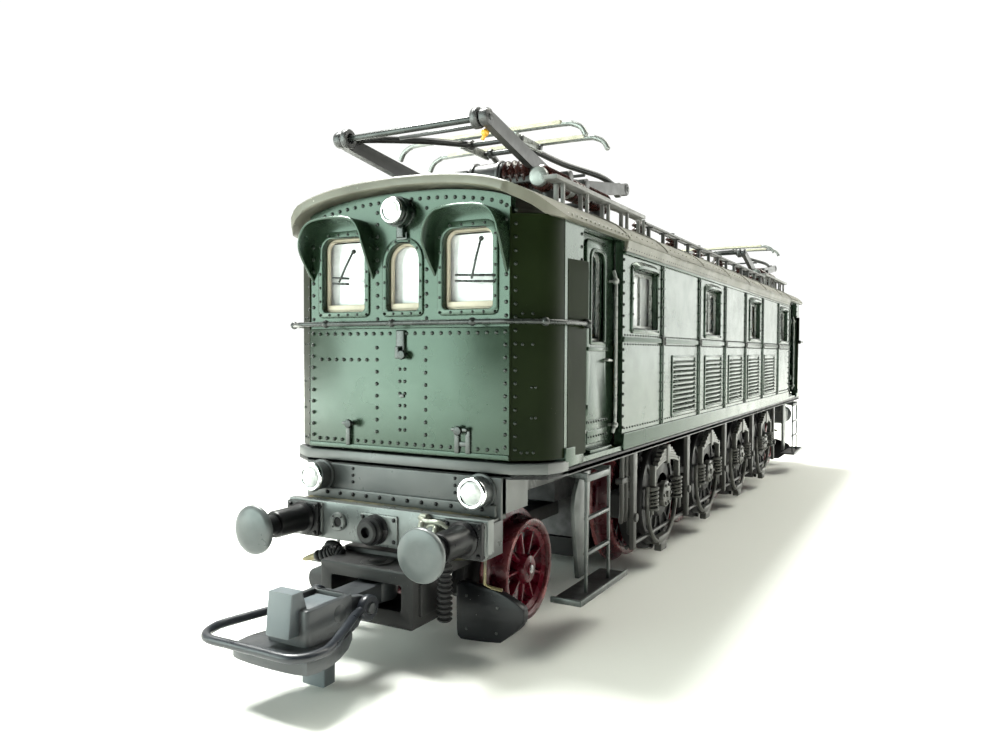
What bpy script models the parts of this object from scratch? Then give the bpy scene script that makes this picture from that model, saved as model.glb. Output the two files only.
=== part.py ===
"""Model electric locomotive in H0 scale (1:87), wheel arrangement 1'Do1'.

Frame: metres, +Z up, z = 0 at the wheel flanges' lowest points, -Y is the front end, +X the side
with the round drive covers. Sizes in this script are millimetres and MM turns them into metres.
The two ends are the same: the rear one is the front one turned half a turn about Z.
"""

import math

import bmesh
import bpy
from mathutils import Matrix, Vector

MM = 0.001
GAP = 0.3
RUN = 0.08

# Running gear
DRIVER_TREAD_R = 9.43
LEADER_TREAD_R = 5.75
FLANGE_H = 1.0
BACK_TO_BACK = 14.4
FLANGE_W = 0.8
WHEEL_W = 2.8
DRIVER_YS = (-37.95, -12.65, 12.65, 37.95)
LEADER_Y = 71.5
AXLE_R = 1.2
LEADER_AXLE_R = 1.0
DRIVER_Z = DRIVER_TREAD_R + FLANGE_H
LEADER_Z = LEADER_TREAD_R + FLANGE_H

# Gear train
MODULE = 0.6
WORM_TEETH = 23
AXLE_TEETH = 24
GEAR_HALF_W = 1.5
WORM_GEAR_Y = 25.3
CENTRE_DISTANCE = MODULE * (WORM_TEETH + AXLE_TEETH) / 2
WORM_GEAR_Z = DRIVER_Z + math.sqrt(CENTRE_DISTANCE**2 - 12.65**2)
WORM_PITCH_R = 3.0
WORM_LEAD = math.pi * MODULE
MOTOR_Z = WORM_GEAR_Z + MODULE * WORM_TEETH / 2 + WORM_PITCH_R
SHAFT_R = 1.0

# Body
WALL_X = 16.47
FRONT_Y = 81.64
FLAT_X = 12.76
CORNER = (15.9, 79.7)
SIDE_Y = 77.7
WALL = 1.0
BODY_Z = 19.2
FRONT_PANEL_Z = 20.2
EAVES_Z = 43.1
DOOR_Y = (59.6, 71.5)
DOOR_X = 15.2
DOOR_TOP = 42.3
SIDE_WINDOW_YS = (-52.15, -17.4, 17.4, 52.15)
SIDE_WINDOW = (10.2, 33.8, 41.0)
END_WINDOW_Z = (35.0, 42.9)
END_WINDOW_X = (5.3, 11.1)

# Ends
FLOOR_Z = (18.4, 18.9)
BEAM_Y = 85.3
BEAM_Z = (10.9, 14.8)
BUFFER_X = 10.05
BUFFER_Z = 13.07
BUFFER_FACE_Y = 93.5
LAMP_X = 10.15
LAMP_Z = 17.2
PONY_Y = 50.0
COUPLER_Y = 86.0

# Pantographs
PANTO_Y = 60.5
PIVOT = (2.5, 51.6)
KNEE = (20.0, 54.3)
HEAD_Z = 2 * KNEE[1] - PIVOT[1]
ARM_X = 8.3


def clear_scene():
    """Removes what the startup file holds."""
    for obj in list(bpy.data.objects):
        bpy.data.objects.remove(obj, do_unlink=True)
    for group in list(bpy.data.collections):
        bpy.data.collections.remove(group)


def new_collection(name):
    group = bpy.data.collections.new(name)
    bpy.context.scene.collection.children.link(group)
    return group


clear_scene()
MODEL = new_collection("model_electric_locomotive")
CUTTERS = new_collection("cutters")
CUTTERS.hide_render = True


def finish(name, rgb, roughness, metallic=0.0, alpha=1.0):
    """A Principled material of one part's colour and sheen."""
    material = bpy.data.materials.new(name)
    material.use_nodes = True
    shader = material.node_tree.nodes["Principled BSDF"]
    shader.inputs["Base Color"].default_value = (*rgb, 1.0)
    shader.inputs["Roughness"].default_value = roughness
    shader.inputs["Metallic"].default_value = metallic
    shader.inputs["Alpha"].default_value = alpha
    material.diffuse_color = (*rgb, alpha)
    return material


GREEN = finish("green_paint", (0.035, 0.095, 0.070), 0.35)
ROOF_GREY = finish("roof_paint", (0.52, 0.51, 0.45), 0.5)
CLEAR = finish("clear_plastic", (0.85, 0.88, 0.86), 0.08, alpha=0.35)
CAB_BEIGE = finish("cab_plastic", (0.42, 0.36, 0.25), 0.55)
CAST = finish("cast_metal", (0.09, 0.09, 0.095), 0.5, 0.6)
FRAME_GREY = finish("frame_plastic", (0.045, 0.052, 0.058), 0.42)
BLACK = finish("black_plastic", (0.018, 0.018, 0.020), 0.4)
BOARD = finish("board", (0.03, 0.13, 0.05), 0.4)
STEEL = finish("steel", (0.55, 0.55, 0.56), 0.3, 1.0)
BRASS = finish("brass", (0.62, 0.44, 0.16), 0.3, 1.0)
GEAR_WHITE = finish("gear_plastic", (0.68, 0.66, 0.58), 0.45)
CRIMSON = finish("wheel_red", (0.22, 0.012, 0.022), 0.4)
COUPLER_GREY = finish("coupler_plastic", (0.10, 0.105, 0.11), 0.45)
ARM_GREY = finish("pantograph_metal", (0.11, 0.11, 0.115), 0.4, 0.7)
STRIP = finish("contact_strip", (0.62, 0.56, 0.42), 0.4, 0.5)


def shape(name, bm, smooth=False):
    """The helper object of one shape: its millimetres become metres, its faces point out."""
    bmesh.ops.remove_doubles(bm, verts=bm.verts, dist=1e-4)
    bmesh.ops.recalc_face_normals(bm, faces=bm.faces)
    bmesh.ops.scale(bm, vec=(MM, MM, MM), verts=bm.verts)
    mesh = bpy.data.meshes.new(name)
    bm.to_mesh(mesh)
    bm.free()
    if smooth:
        mesh.shade_smooth()
        mesh.set_sharp_from_angle(angle=math.radians(61))
    obj = bpy.data.objects.new(name, mesh)
    obj.display_type = "WIRE"
    obj.hide_render = True
    CUTTERS.objects.link(obj)
    return obj


def block(name, low, high):
    """A box between two corners."""
    bm = bmesh.new()
    bmesh.ops.create_cube(bm, size=1.0)
    size = [b - a for a, b in zip(low, high)]
    middle = [(a + b) / 2 for a, b in zip(low, high)]
    bmesh.ops.scale(bm, vec=size, verts=bm.verts)
    bmesh.ops.translate(bm, vec=middle, verts=bm.verts)
    return shape(name, bm)


def upright(axis):
    """The turn that takes +Z to an axis, with +X kept level: x, y or z."""
    turns = {
        "x": Matrix(((0, 0, 1), (1, 0, 0), (0, 1, 0))),
        "y": Matrix(((1, 0, 0), (0, 0, 1), (0, 1, 0))),
        "z": Matrix.Identity(3),
    }
    return turns[axis]


def prism(name, outline, axis, low, high):
    """An outline in the other two axes, (y, z), (x, z) or (x, y), drawn out along an axis."""
    bm = bmesh.new()
    turn = upright(axis)
    face = bm.faces.new([bm.verts.new(turn @ Vector((u, v, low))) for u, v in outline])
    grown = bmesh.ops.extrude_face_region(bm, geom=[face])["geom"]
    raised = [item for item in grown if isinstance(item, bmesh.types.BMVert)]
    bmesh.ops.translate(bm, vec=turn @ Vector((0, 0, high - low)), verts=raised)
    return shape(name, bm)


def lathe(name, profile, axis="x", centre=(0, 0), segments=24, closed=False, phase=0.0):
    """A profile of (radius, height) points turned about an axis through centre.

    An open profile starts and ends at radius 0, a closed one is a ring's section."""
    bm = bmesh.new()
    turn = upright(axis)
    rings = []
    for radius, height in profile:
        count = segments if radius > 0 else 1
        ring = []
        for step in range(count):
            angle = phase + 2 * math.pi * step / segments - math.pi / 2
            u = centre[0] + radius * math.cos(angle)
            v = centre[1] + radius * math.sin(angle)
            ring.append(bm.verts.new(turn @ Vector((u, v, height))))
        rings.append(ring)
    pairs = list(zip(rings, rings[1:]))
    if closed:
        pairs.append((rings[-1], rings[0]))
    for first, second in pairs:
        for step in range(segments):
            after = (step + 1) % segments
            corners = [first[step % len(first)], first[after % len(first)]]
            corners += [second[after % len(second)], second[step % len(second)]]
            face = list(dict.fromkeys(corners))
            if len(face) > 2:
                bm.faces.new(face)
    return shape(name, bm, smooth=True)


def drum(name, radius, low, high, axis="x", centre=(0, 0), segments=12):
    """A plain cylinder."""
    profile = [(0, low), (radius, low), (radius, high), (0, high)]
    return lathe(name, profile, axis, centre, segments)


def ring(name, inner, outer, low, high, axis="x", centre=(0, 0), segments=12):
    """A plain tube."""
    profile = [(inner, low), (outer, low), (outer, high), (inner, high)]
    return lathe(name, profile, axis, centre, segments, closed=True)


def rod(name, points, radius, sides=8, looped=False):
    """A round bar bent along a line of points, mitred at each."""
    bm = bmesh.new()
    points = [Vector(point) for point in points]
    rings = []
    normal = None
    count = len(points)
    for index, point in enumerate(points):
        before = points[index - 1] if index or looped else point
        after = points[(index + 1) % count] if index < count - 1 or looped else point
        outgoing = (after - point).normalized() if after != point else (point - before).normalized()
        incoming = (point - before).normalized() if point != before else outgoing
        along = (incoming + outgoing).normalized()
        if normal is None:
            helper = Vector((0, 0, 1)) if abs(along.z) < 0.9 else Vector((1, 0, 0))
            normal = along.cross(helper).normalized()
        normal = (normal - along * normal.dot(along)).normalized()
        side = along.cross(normal)
        stretch = 1 / max(0.5, math.sqrt((1 + incoming.dot(outgoing)) / 2))
        bend = outgoing - incoming
        bend = bend.normalized() if bend.length > 1e-6 else Vector((0, 0, 0))
        section = []
        for step in range(sides):
            angle = 2 * math.pi * (step + 0.5) / sides
            offset = radius * (math.cos(angle) * normal + math.sin(angle) * side)
            offset += bend * offset.dot(bend) * (stretch - 1)
            section.append(bm.verts.new(point + offset))
        rings.append(section)
    pairs = list(zip(rings, rings[1:]))
    if looped:
        pairs.append((rings[-1], rings[0]))
    for first, second in pairs:
        for step in range(sides):
            after = (step + 1) % sides
            bm.faces.new([first[step], first[after], second[after], second[step]])
    if not looped:
        bm.faces.new(rings[0])
        bm.faces.new(rings[-1])
    return shape(name, bm, smooth=True)


def part(name, material, shapes, cuts=(), keep=None, at=(0, 0, 0), turned=False):
    """One sub-part: the shapes fused, cut to what keep holds, then cut by cuts.

    at is its origin, and turned is half a turn about Z for the rear end's copy."""
    body = shapes[0]
    CUTTERS.objects.unlink(body)
    MODEL.objects.link(body)
    body.name = name
    body.data.name = name
    body.display_type = "TEXTURED"
    body.hide_render = False
    body.data.materials.append(material)
    operations = [("UNION", other) for other in shapes[1:]]
    operations += [("INTERSECT", keep)] if keep else []
    operations += [("DIFFERENCE", other) for other in cuts]
    for number, (operation, other) in enumerate(operations):
        joint = body.modifiers.new(f"{operation.lower()}_{number}", "BOOLEAN")
        joint.operation = operation
        joint.solver = "EXACT"
        joint.object = other
        other.name = f"{name}_{operation.lower()}_{number}"
        other.parent = body
    body.location = Vector(at) * MM
    if turned:
        body.rotation_euler.z = math.pi
    return body


def pivot(name, at, turned=False):
    """An empty on a joint's axis, for the pieces that turn about it."""
    empty = bpy.data.objects.new(name, None)
    empty.empty_display_size = 0.004
    empty.location = Vector(at) * MM
    if turned:
        empty.rotation_euler.z = math.pi
    MODEL.objects.link(empty)
    return empty


def both(points):
    """A right half outline, listed from its first end to its last, closed by its mirror image."""
    return points + [(-x, y) for x, y in reversed(points) if x > 0]


def plan(grow):
    """The body's outline seen from above, moved out by grow."""
    corner = [
        (FLAT_X + 0.35 * grow, FRONT_Y + grow),
        (CORNER[0] + 0.8 * grow, CORNER[1] + 0.75 * grow),
        (WALL_X + grow, SIDE_Y + 0.3 * grow),
    ]
    right = [(x, -y) for x, y in corner] + corner[::-1]
    return both(right)


def stepped_plan(inset, door_inset, door_margin):
    """The outline inside the walls, stepping in behind the four door niches."""
    grow = -inset
    door_x = DOOR_X - door_inset
    side_x = WALL_X - inset
    low, high = DOOR_Y[0] - door_margin, DOOR_Y[1] + door_margin
    half = [
        (FLAT_X + 0.35 * grow, FRONT_Y + grow),
        (CORNER[0] + 0.8 * grow, CORNER[1] + 0.75 * grow),
        (side_x, SIDE_Y + 0.3 * grow),
        (side_x, high),
        (door_x, high),
        (door_x, low),
        (side_x, low),
    ]
    right = [(x, -y) for x, y in half] + half[::-1]
    return both(right)


def make_body():
    """The green body: a wall all round with niches, windows and an arched top at each end."""
    walls = prism("walls", plan(0), "z", BODY_Z, 48)
    under_arch = [
        (18, 17),
        (18, EAVES_Z),
        (15.0, EAVES_Z),
        (15.0, 44.0),
        (13.6, 45.0),
        (10.7, 46.3),
        (6, 47.1),
        (0, 47.4),
    ]
    arch = prism("arch", both(under_arch), "y", -84, 84)
    shapes = [walls]
    for end in (-1, 1):
        barrel = drum("barrel", 1.3, end * (FRONT_Y - 0.5), end * 83.9, "y", (0, 45.3), 16)
        shapes.append(barrel)
    cuts = [prism("cavity", stepped_plan(WALL, 1.0, 1.0), "z", 18, 49)]
    for end in (-1, 1):
        ys = sorted((end * 76.3, end * 84))
        cuts.append(block("front_foot", (-18, ys[0], 18), (18, ys[1], FRONT_PANEL_Z)))
        for side in (-1, 1):
            xs = sorted((side * DOOR_X, side * 17.5))
            ys = sorted((end * DOOR_Y[0], end * DOOR_Y[1]))
            cuts.append(block("niche", (xs[0], ys[0], 18), (xs[1], ys[1], DOOR_TOP)))
        ys = sorted((end * 62.3, end * 66.8))
        cuts.append(block("door_windows", (-15.6, ys[0], 32.0), (15.6, ys[1], 41.0)))
    width, low, high = SIDE_WINDOW
    for y in SIDE_WINDOW_YS:
        cuts.append(block("window", (-18, y - width / 2, low), (18, y + width / 2, high)))
    low, high = END_WINDOW_Z
    for side in (-1, 1):
        xs = sorted((side * END_WINDOW_X[0], side * END_WINDOW_X[1]))
        cuts.append(block("end_window", (xs[0], -83, low), (xs[1], 83, high)))
    arched = [(2.2, low), (2.2, 41.0), (1.3, 41.9), (0, 42.2)]
    cuts.append(prism("arched_window", both(arched), "y", -83, 83))
    return part("body_shell", GREEN, shapes, cuts, keep=arch)


def make_roof():
    """The arched roof with its overhanging rims, open below."""
    outer = [
        (17.2, 43.4),
        (17.2, 44.0),
        (16.6, 45.0),
        (15.0, 46.2),
        (11.3, 47.8),
        (6.0, 48.6),
        (0.0, 48.9),
    ]
    inner = [
        (0.0, 47.7),
        (6.0, 47.4),
        (10.9, 46.6),
        (14.0, 45.2),
        (15.3, 44.2),
        (15.3, 43.4),
    ]
    left_outer = [(-x, z) for x, z in reversed(outer) if x > 0]
    left_inner = [(-x, z) for x, z in reversed(inner) if x > 0]
    outline = outer + left_outer + left_inner + inner
    vault = prism("vault", outline, "y", -84, 84)
    corner = [(12.9, 83.3), (16.4, 81.0), (17.3, 78.4)]
    right = [(x, -y) for x, y in corner] + corner[::-1]
    rim = prism("rim", both(right), "z", 42, 50)
    return part("roof_shell", ROOF_GREY, [vault], keep=rim)


def make_glazing():
    """One clear inner band behind all windows."""
    band = prism("band", stepped_plan(WALL + GAP, 1.0 + GAP, 1.0 + GAP), "z", 33.0, 42.8)
    inside = prism("inside", stepped_plan(1.9, 1.9, 1.9), "z", 32, 44)
    return part("window_glazing", CLEAR, [band], [inside])


def make_cab(name, turned):
    """Cab floor, control desk, seat and rear wall."""
    shapes = [
        block("cab_floor", (-12.9, -79.0, 21.0), (12.9, -56.0, 21.8)),
        block("rear_wall", (-12.9, -56.8, 21.4), (12.9, -56.0, 42.4)),
        block("desk", (-8.5, -78.6, 21.4), (8.5, -75.2, 31.8)),
        block("seat_post", (4.3, -70.9, 21.4), (5.7, -69.5, 27.2)),
        block("seat", (2.8, -72.4, 26.4), (7.2, -68.0, 27.4)),
        block("seat_back", (2.8, -68.8, 27.0), (7.2, -68.0, 32.4)),
    ]
    return part(name, CAB_BEIGE, shapes, turned=turned)


def make_chassis():
    """The cast block that holds the motor and the axles."""
    shapes = [block("main", (-6.4, -46.6, 4.6), (6.4, 46.6, 22.6))]
    cuts = [block("motor_bay", (-7, -20.4, 17.5), (7, 20.4, 23))]
    for end in (-1, 1):
        ys = sorted((end * 45.0, end * 53.6))
        shapes.append(block("tongue", (-4.6, ys[0], 10.8), (4.6, ys[1], 14.0)))
        ys = sorted((end * 4.2, end * 46.0))
        cuts.append(block("gear_slot", (-2.1, ys[0], 4), (2.1, ys[1], 24)))
        cuts.append(drum("pivot_hole", 1.5 + RUN, 10, 15, "z", (0, end * PONY_Y)))
        bearing = (end * WORM_GEAR_Y, WORM_GEAR_Z)
        cuts.append(drum("gear_bearing", SHAFT_R + RUN, -7, 7, "x", bearing))
    for y in DRIVER_YS:
        cuts.append(drum("axle_bearing", AXLE_R + RUN, -7, 7, "x", (y, DRIVER_Z)))
    return part("chassis_block", CAST, shapes, cuts)


def make_underframe():
    """The floor with its opening for the wheels, the sills, and both ends' skirts and beams."""
    low, high = FLOOR_Z
    shapes = [prism("floor", plan(0.25), "z", low, high)]
    shapes.append(block("sill", (-13.2, -58, 16.4), (-11.4, 58, 18.6)))
    cuts = [block("wheel_well", (-10.5, -49.4, 17), (14.8, 49.4, 20))]
    corner = [(x, y) for x, y in plan(0.25) if x > 0 and y > 76]
    for end in (-1, 1):
        right = [(corner[0][0], end * 76.6)] + [(x, end * y) for x, y in corner]
        shapes.append(prism("lip", both(right), "z", low, 19.9))
        ys = sorted((end * 81.3, end * 79.5))
        cuts.append(block("guide_slot", (-11.6, ys[0], 16.0), (11.6, ys[1], 18.3)))
        ys = sorted((end * 82.7, end * 81.6))
        shapes.append(block("skirt", (-12.4, ys[0], 14.4), (12.4, ys[1], 18.7)))
        ys = sorted((end * 85.2, end * 82.0))
        shapes.append(block("shelf", (-12.1, ys[0], 14.1), (12.1, ys[1], 14.7)))
        beam = [(12.3, BEAM_Z[1]), (12.3, 12.6), (11.8, BEAM_Z[0])]
        ys = sorted((end * BEAM_Y, end * 84.3))
        shapes.append(prism("beam", both(beam), "y", *ys))
        for side in (-1, 1):
            xs = sorted((side * 4.4, side * 6.4))
            ys = sorted((end * 84.6, end * 55.0))
            shapes.append(block("rail", (xs[0], ys[0], 14.3), (xs[1], ys[1], 18.6)))
            lamp = (side * LAMP_X, LAMP_Z)
            shapes.append(drum("lamp", 1.5, end * 82.2, end * 84.5, "y", lamp))
            cuts.append(drum("lamp_bore", 1.15, end * 81, end * 85, "y", lamp))
    return part("underframe", FRAME_GREY, shapes, cuts)


def make_gearbox_cover():
    """The keeper plate under the gears, with a well for their teeth."""
    shapes = [block("plate", (-5.8, -46.4, 1.7), (5.8, 46.4, 4.3))]
    cuts = []
    for end in (-1, 1):
        ys = sorted((end * 4.3, end * 45.9))
        cuts.append(block("well", (-2.1, ys[0], 2.25), (2.1, ys[1], 5)))
    return part("gearbox_cover", BLACK, shapes, cuts)


def make_board():
    """The circuit board over the motor, with its few large components."""
    shapes = [
        block("card", (-9, -36, 36.6), (9, 36, 37.4)),
        block("chip", (-3, -6, 37.2), (3, 6, 38.6)),
        block("socket", (-5, 22, 37.2), (5, 27, 39.4)),
        drum("capacitor", 2.2, 37.2, 40.2, "z", (0, -22)),
    ]
    return part("circuit_board", BOARD, shapes)


def make_motor():
    """The motor's can with flattened sides, bearing bosses and the shaft's bore."""
    profile = [
        (0, -13.2),
        (2.4, -13.2),
        (2.4, -12),
        (7.8, -12),
        (8.5, -11.3),
        (8.5, 11.3),
        (7.8, 12),
        (2.4, 12),
        (2.4, 13.2),
        (0, 13.2),
    ]
    can = lathe("can", profile, "y", segments=20)
    cuts = [drum("bore", SHAFT_R + RUN, -14, 14, "y")]
    for side in (-1, 1):
        xs = sorted((side * 7.4, side * 9))
        cuts.append(block("flat", (xs[0], -13, -9), (xs[1], 13, 9)))
    part("motor_housing", STEEL, [can], cuts, at=(0, 0, MOTOR_Z))
    shaft = drum("shaft", SHAFT_R, -31, 31, "y")
    part("motor_shaft", STEEL, [shaft], at=(0, 0, MOTOR_Z))
    bore = SHAFT_R + GAP
    for end, name in ((-1, "flywheel_front"), (1, "flywheel_rear")):
        ys = sorted((end * 15, end * 19))
        disc = ring("disc", bore, 6.0, *ys, "y", segments=20)
        part(name, BRASS, [disc], at=(0, 0, MOTOR_Z))


def make_worm(name, y):
    """A single-start worm with square-cut thread ends; below, its crests lie between the teeth."""
    root = WORM_PITCH_R - 0.75
    tip = WORM_PITCH_R + 0.45
    half = 5.6
    steps = 12
    turns = 5
    last = steps * turns
    section = ((root, -0.62), (tip, -0.22), (tip, 0.22), (root, 0.62))
    bm = bmesh.new()

    def point(step, radius, height):
        angle = 2 * math.pi * (step / steps - turns / 2)
        return bm.verts.new((radius * math.sin(angle), height, radius * math.cos(angle)))

    thread = []
    for step in range(last + 1):
        middle = WORM_LEAD * (step / steps - turns / 2)
        thread.append([point(step, radius, middle + offset) for radius, offset in section])
    collars = {}
    for key, radius, height in (
        ("start", root, -half),
        ("start_bore", SHAFT_R + GAP, -half),
        ("end", root, half),
        ("end_bore", SHAFT_R + GAP, half),
    ):
        collars[key] = [point(step, radius, height) for step in range(steps)] * 2
    start, end = collars["start"], collars["end"]
    for step in range(last):
        here, after = thread[step], thread[step + 1]
        for edge in range(3):
            bm.faces.new((here[edge], after[edge], after[edge + 1], here[edge + 1]))
        if step < last - steps:
            above, above_after = thread[step + steps], thread[step + steps + 1]
            bm.faces.new((here[3], after[3], above_after[0], above[0]))
    bm.faces.new(thread[0])
    bm.faces.new(thread[-1])
    for step in range(steps):
        # The core's lands before the first turn and after the last one.
        low = [start[step], start[step + 1], thread[step + 1][0], thread[step][0]]
        if step == steps - 1:
            low[2:2] = [thread[0][0], thread[0][3]]
        bm.faces.new(low)
        near, far = thread[last - steps + step], thread[last - steps + step + 1]
        high = [near[3], far[3], end[step + 1], end[step]]
        if step == 0:
            high += [thread[-1][3], thread[-1][0]]
        bm.faces.new(high)
        for outer, inner in (("start", "start_bore"), ("start_bore", "end_bore"), ("end_bore", "end")):
            first, second = collars[outer], collars[inner]
            bm.faces.new((first[step], first[step + 1], second[step + 1], second[step]))
    return part(name, BRASS, [shape("worm", bm)], at=(0, y, MOTOR_Z))


def gear_outline(teeth, phase):
    """A toothed outline in (y, z) with a tooth's middle at the phase angle."""
    pitch_r = MODULE * teeth / 2
    root = pitch_r - 1.2 * MODULE
    tip = pitch_r + 0.85 * MODULE
    step = 2 * math.pi / teeth
    points = []
    for tooth in range(teeth):
        middle = phase + tooth * step
        for radius, share in ((root, -0.36), (tip, -0.115), (tip, 0.115), (root, 0.36)):
            angle = middle + share * step
            points.append((radius * math.cos(angle), radius * math.sin(angle)))
    return points


def make_gears():
    """Worm gears on their own pins, and the axle gears, meshed at rest."""
    top = math.pi / 2
    for end, name in ((-1, "worm_gear_front"), (1, "worm_gear_rear")):
        middle = (0, end * WORM_GEAR_Y, WORM_GEAR_Z)
        disc = prism("disc", gear_outline(WORM_TEETH, top), "x", -GEAR_HALF_W, GEAR_HALF_W)
        pin = drum("pin", SHAFT_R, -5.6, 5.6)
        part(name, GEAR_WHITE, [disc, pin], at=middle)
        make_worm(name.replace("gear_", ""), end * WORM_GEAR_Y)
    for number, y in enumerate(DRIVER_YS, 1):
        source = math.copysign(WORM_GEAR_Y, y)
        line = math.atan2(DRIVER_Z - WORM_GEAR_Z, y - source)
        phase = line + math.pi + (WORM_TEETH * (line - top) - math.pi) / AXLE_TEETH
        disc = prism("disc", gear_outline(AXLE_TEETH, phase), "x", -GEAR_HALF_W, GEAR_HALF_W)
        bore = drum("bore", AXLE_R + GAP, -3, 3)
        part(f"axle_gear_{number}", GEAR_WHITE, [disc], [bore], at=(0, y, DRIVER_Z))


def make_wheelset(name, material, at, tread_r, axle_r, hub_r, spokes, rim, segments):
    """An axle with a spoked, flanged wheel at each end."""
    inner = BACK_TO_BACK / 2
    outer = inner + WHEEL_W
    face = outer + 0.2
    profile = [
        (0, -face),
        (hub_r, -face),
        (hub_r, -inner),
        (axle_r, -inner),
        (axle_r, inner),
        (hub_r, inner),
        (hub_r, face),
        (0, face),
    ]
    shapes = [lathe("axle", profile, segments=12)]
    flange_r = tread_r + FLANGE_H
    section = [
        (tread_r - rim, inner),
        (flange_r, inner + 0.1),
        (flange_r, inner + 0.55),
        (tread_r, inner + FLANGE_W),
        (tread_r, outer),
        (tread_r - rim, outer),
    ]
    star = []
    half_width = 0.11 * tread_r / 2
    reach = tread_r - rim / 2
    for spoke in range(spokes):
        middle = 2 * math.pi * (spoke + 0.5) / spokes
        spread = math.asin(half_width / reach)
        valley = middle + math.pi / spokes
        valley_r = half_width / math.sin(math.pi / spokes)
        star.append((reach * math.cos(middle - spread), reach * math.sin(middle - spread)))
        star.append((reach * math.cos(middle + spread), reach * math.sin(middle + spread)))
        star.append((valley_r * math.cos(valley), valley_r * math.sin(valley)))
    for side in (-1, 1):
        sided = [(radius, side * height) for radius, height in section]
        shapes.append(lathe("tyre", sided, segments=segments, closed=True))
        xs = sorted((side * (inner + 0.9), side * (outer - 0.7)))
        shapes.append(prism("spider", star, "x", *xs))
    return part(name, material, shapes, at=at)


def make_wheels():
    for number, y in enumerate(DRIVER_YS, 1):
        name = f"driving_wheelset_{number}"
        make_wheelset(name, CRIMSON, (0, y, DRIVER_Z), DRIVER_TREAD_R, AXLE_R, 2.3, 12, 1.3, 24)
    for end, name in ((-1, "leading_wheelset_front"), (1, "leading_wheelset_rear")):
        at = (0, end * LEADER_Y, LEADER_Z)
        make_wheelset(name, CRIMSON, at, LEADER_TREAD_R, LEADER_AXLE_R, 1.7, 9, 1.0, 20)


def make_pony(name, end):
    """The leading truck: pivot plate, axle plates, rail guards and coupler pocket."""
    y0 = PONY_Y
    shapes = [
        block("arm", (-3.2, -70 + y0, 8.3), (3.2, -48 + y0, 10.3)),
        block("top", (-6.2, -84 + y0, 8.3), (6.2, -66 + y0, 10.3)),
        drum("pin", 1.5, 9.5, 14.8, "z"),
        block("pocket", (-5.8, -88 + y0, 4.0), (5.8, -83.0 + y0, 9.7)),
    ]
    slot = block("pocket_slot", (-4.3, -89 + y0, 5.7), (4.3, -83.6 + y0, 8.3))
    cuts = [drum("axle_bore", LEADER_AXLE_R + RUN, -7, 7, "x", (-LEADER_Y + y0, LEADER_Z), 16)]
    guard = [
        (5.2, 6.6),
        (10.2, 6.6),
        (12.6, 5.3),
        (13.6, 3.6),
        (13.5, 1.6),
        (12.4, 0.8),
        (6.8, 0.7),
        (5.7, 1.4),
    ]
    for side in (-1, 1):
        xs = sorted((side * 4.6, side * 6.2))
        shapes.append(block("cheek", (xs[0], -84 + y0, 4.9), (xs[1], -66 + y0, 8.8)))
        outline = [(side * x, z) for x, z in guard]
        shapes.append(prism("guard", outline, "y", -80.9 + y0, -79.7 + y0))
    pins = part(name, BLACK, shapes, [slot] + cuts, at=(0, end * y0, 0), turned=end > 0)
    king = pins.modifiers.new("coupler_pin", "BOOLEAN")
    king.operation = "UNION"
    king.solver = "EXACT"
    king.object = drum("coupler_pin", 0.9, 5.2, 9.0, "z", (0, -COUPLER_Y + y0))
    king.object.parent = pins
    return pins


def make_coupler(end):
    """Coupler head on its vertical pin, with a lifting bow and a hook lever."""
    where = "front" if end < 0 else "rear"
    y0 = COUPLER_Y
    turned = end > 0
    bell = [(2.3, -92.7), (3.4, -94.5), (4.7, -98.5), (4.3, -101.0)]
    shapes = [
        ring("eye", 0.9 + RUN, 2.0, 6.0, 8.0, "z"),
        block("shank", (-1.5, -93.4 + y0, 6.0), (1.5, -87.6 + y0, 8.0)),
        block("head", (-2.4, -97.4 + y0, 4.6), (2.4, -92.6 + y0, 8.6)),
        prism("bell", [(x, y + y0) for x, y in both(bell)], "z", 4.0, 5.4),
        drum("bow_pin", 0.5, -3.7, 3.7, "x", (-91.5 + y0, 7.0)),
    ]
    slot = block("hook_slot", (-1.75, -98.0 + y0, 3), (1.75, -93.2 + y0, 9))
    name = f"coupler_shank_{where}"
    shank = part(name, COUPLER_GREY, shapes, [slot], at=(0, end * y0, 0), turned=turned)
    pin = shank.modifiers.new("hook_pin", "BOOLEAN")
    pin.operation = "UNION"
    pin.solver = "EXACT"
    pin.object = drum("hook_pin", 0.45, -2.1, 2.1, "x", (-94.6 + y0, 7.2))
    pin.object.parent = shank

    bow_at = pivot(f"bow_pivot_{where}", (0, end * 91.5, 7.0), turned)
    half = [(3.1, -0.85, 0.0), (6.2, -8.6, -0.4), (6.0, -10.8, -0.5), (4.4, -12.0, -0.5)]
    path = half + [(-x, y, z) for x, y, z in reversed(half)]
    eyes = []
    for side in (-1, 1):
        eyes.append(ring("eye", 0.5 + RUN, 1.2, *sorted((side * 2.7, side * 3.5)), "x"))
    bow = part(f"coupler_bow_{where}", COUPLER_GREY, [rod("bow", path, 0.5, 6)] + eyes)
    bow.parent = bow_at

    hook_at = pivot(f"hook_pivot_{where}", (0, end * 94.6, 7.2), turned)
    lever = [
        (1.1, -1.0),
        (1.1, 1.0),
        (-1.6, 1.1),
        (-2.9, 0.7),
        (-3.6, 2.9),
        (-5.0, 2.9),
        (-5.4, -0.9),
        (-1.0, -1.2),
        (-0.9, -6.7),
        (0.6, -6.7),
        (0.7, -1.2),
    ]
    tongue = prism("lever", lever, "x", -1.4, 1.4)
    bore = drum("bore", 0.45 + RUN, -2, 2)
    hook = part(f"coupler_hook_{where}", COUPLER_GREY, [tongue], [bore])
    hook.parent = hook_at


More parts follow.
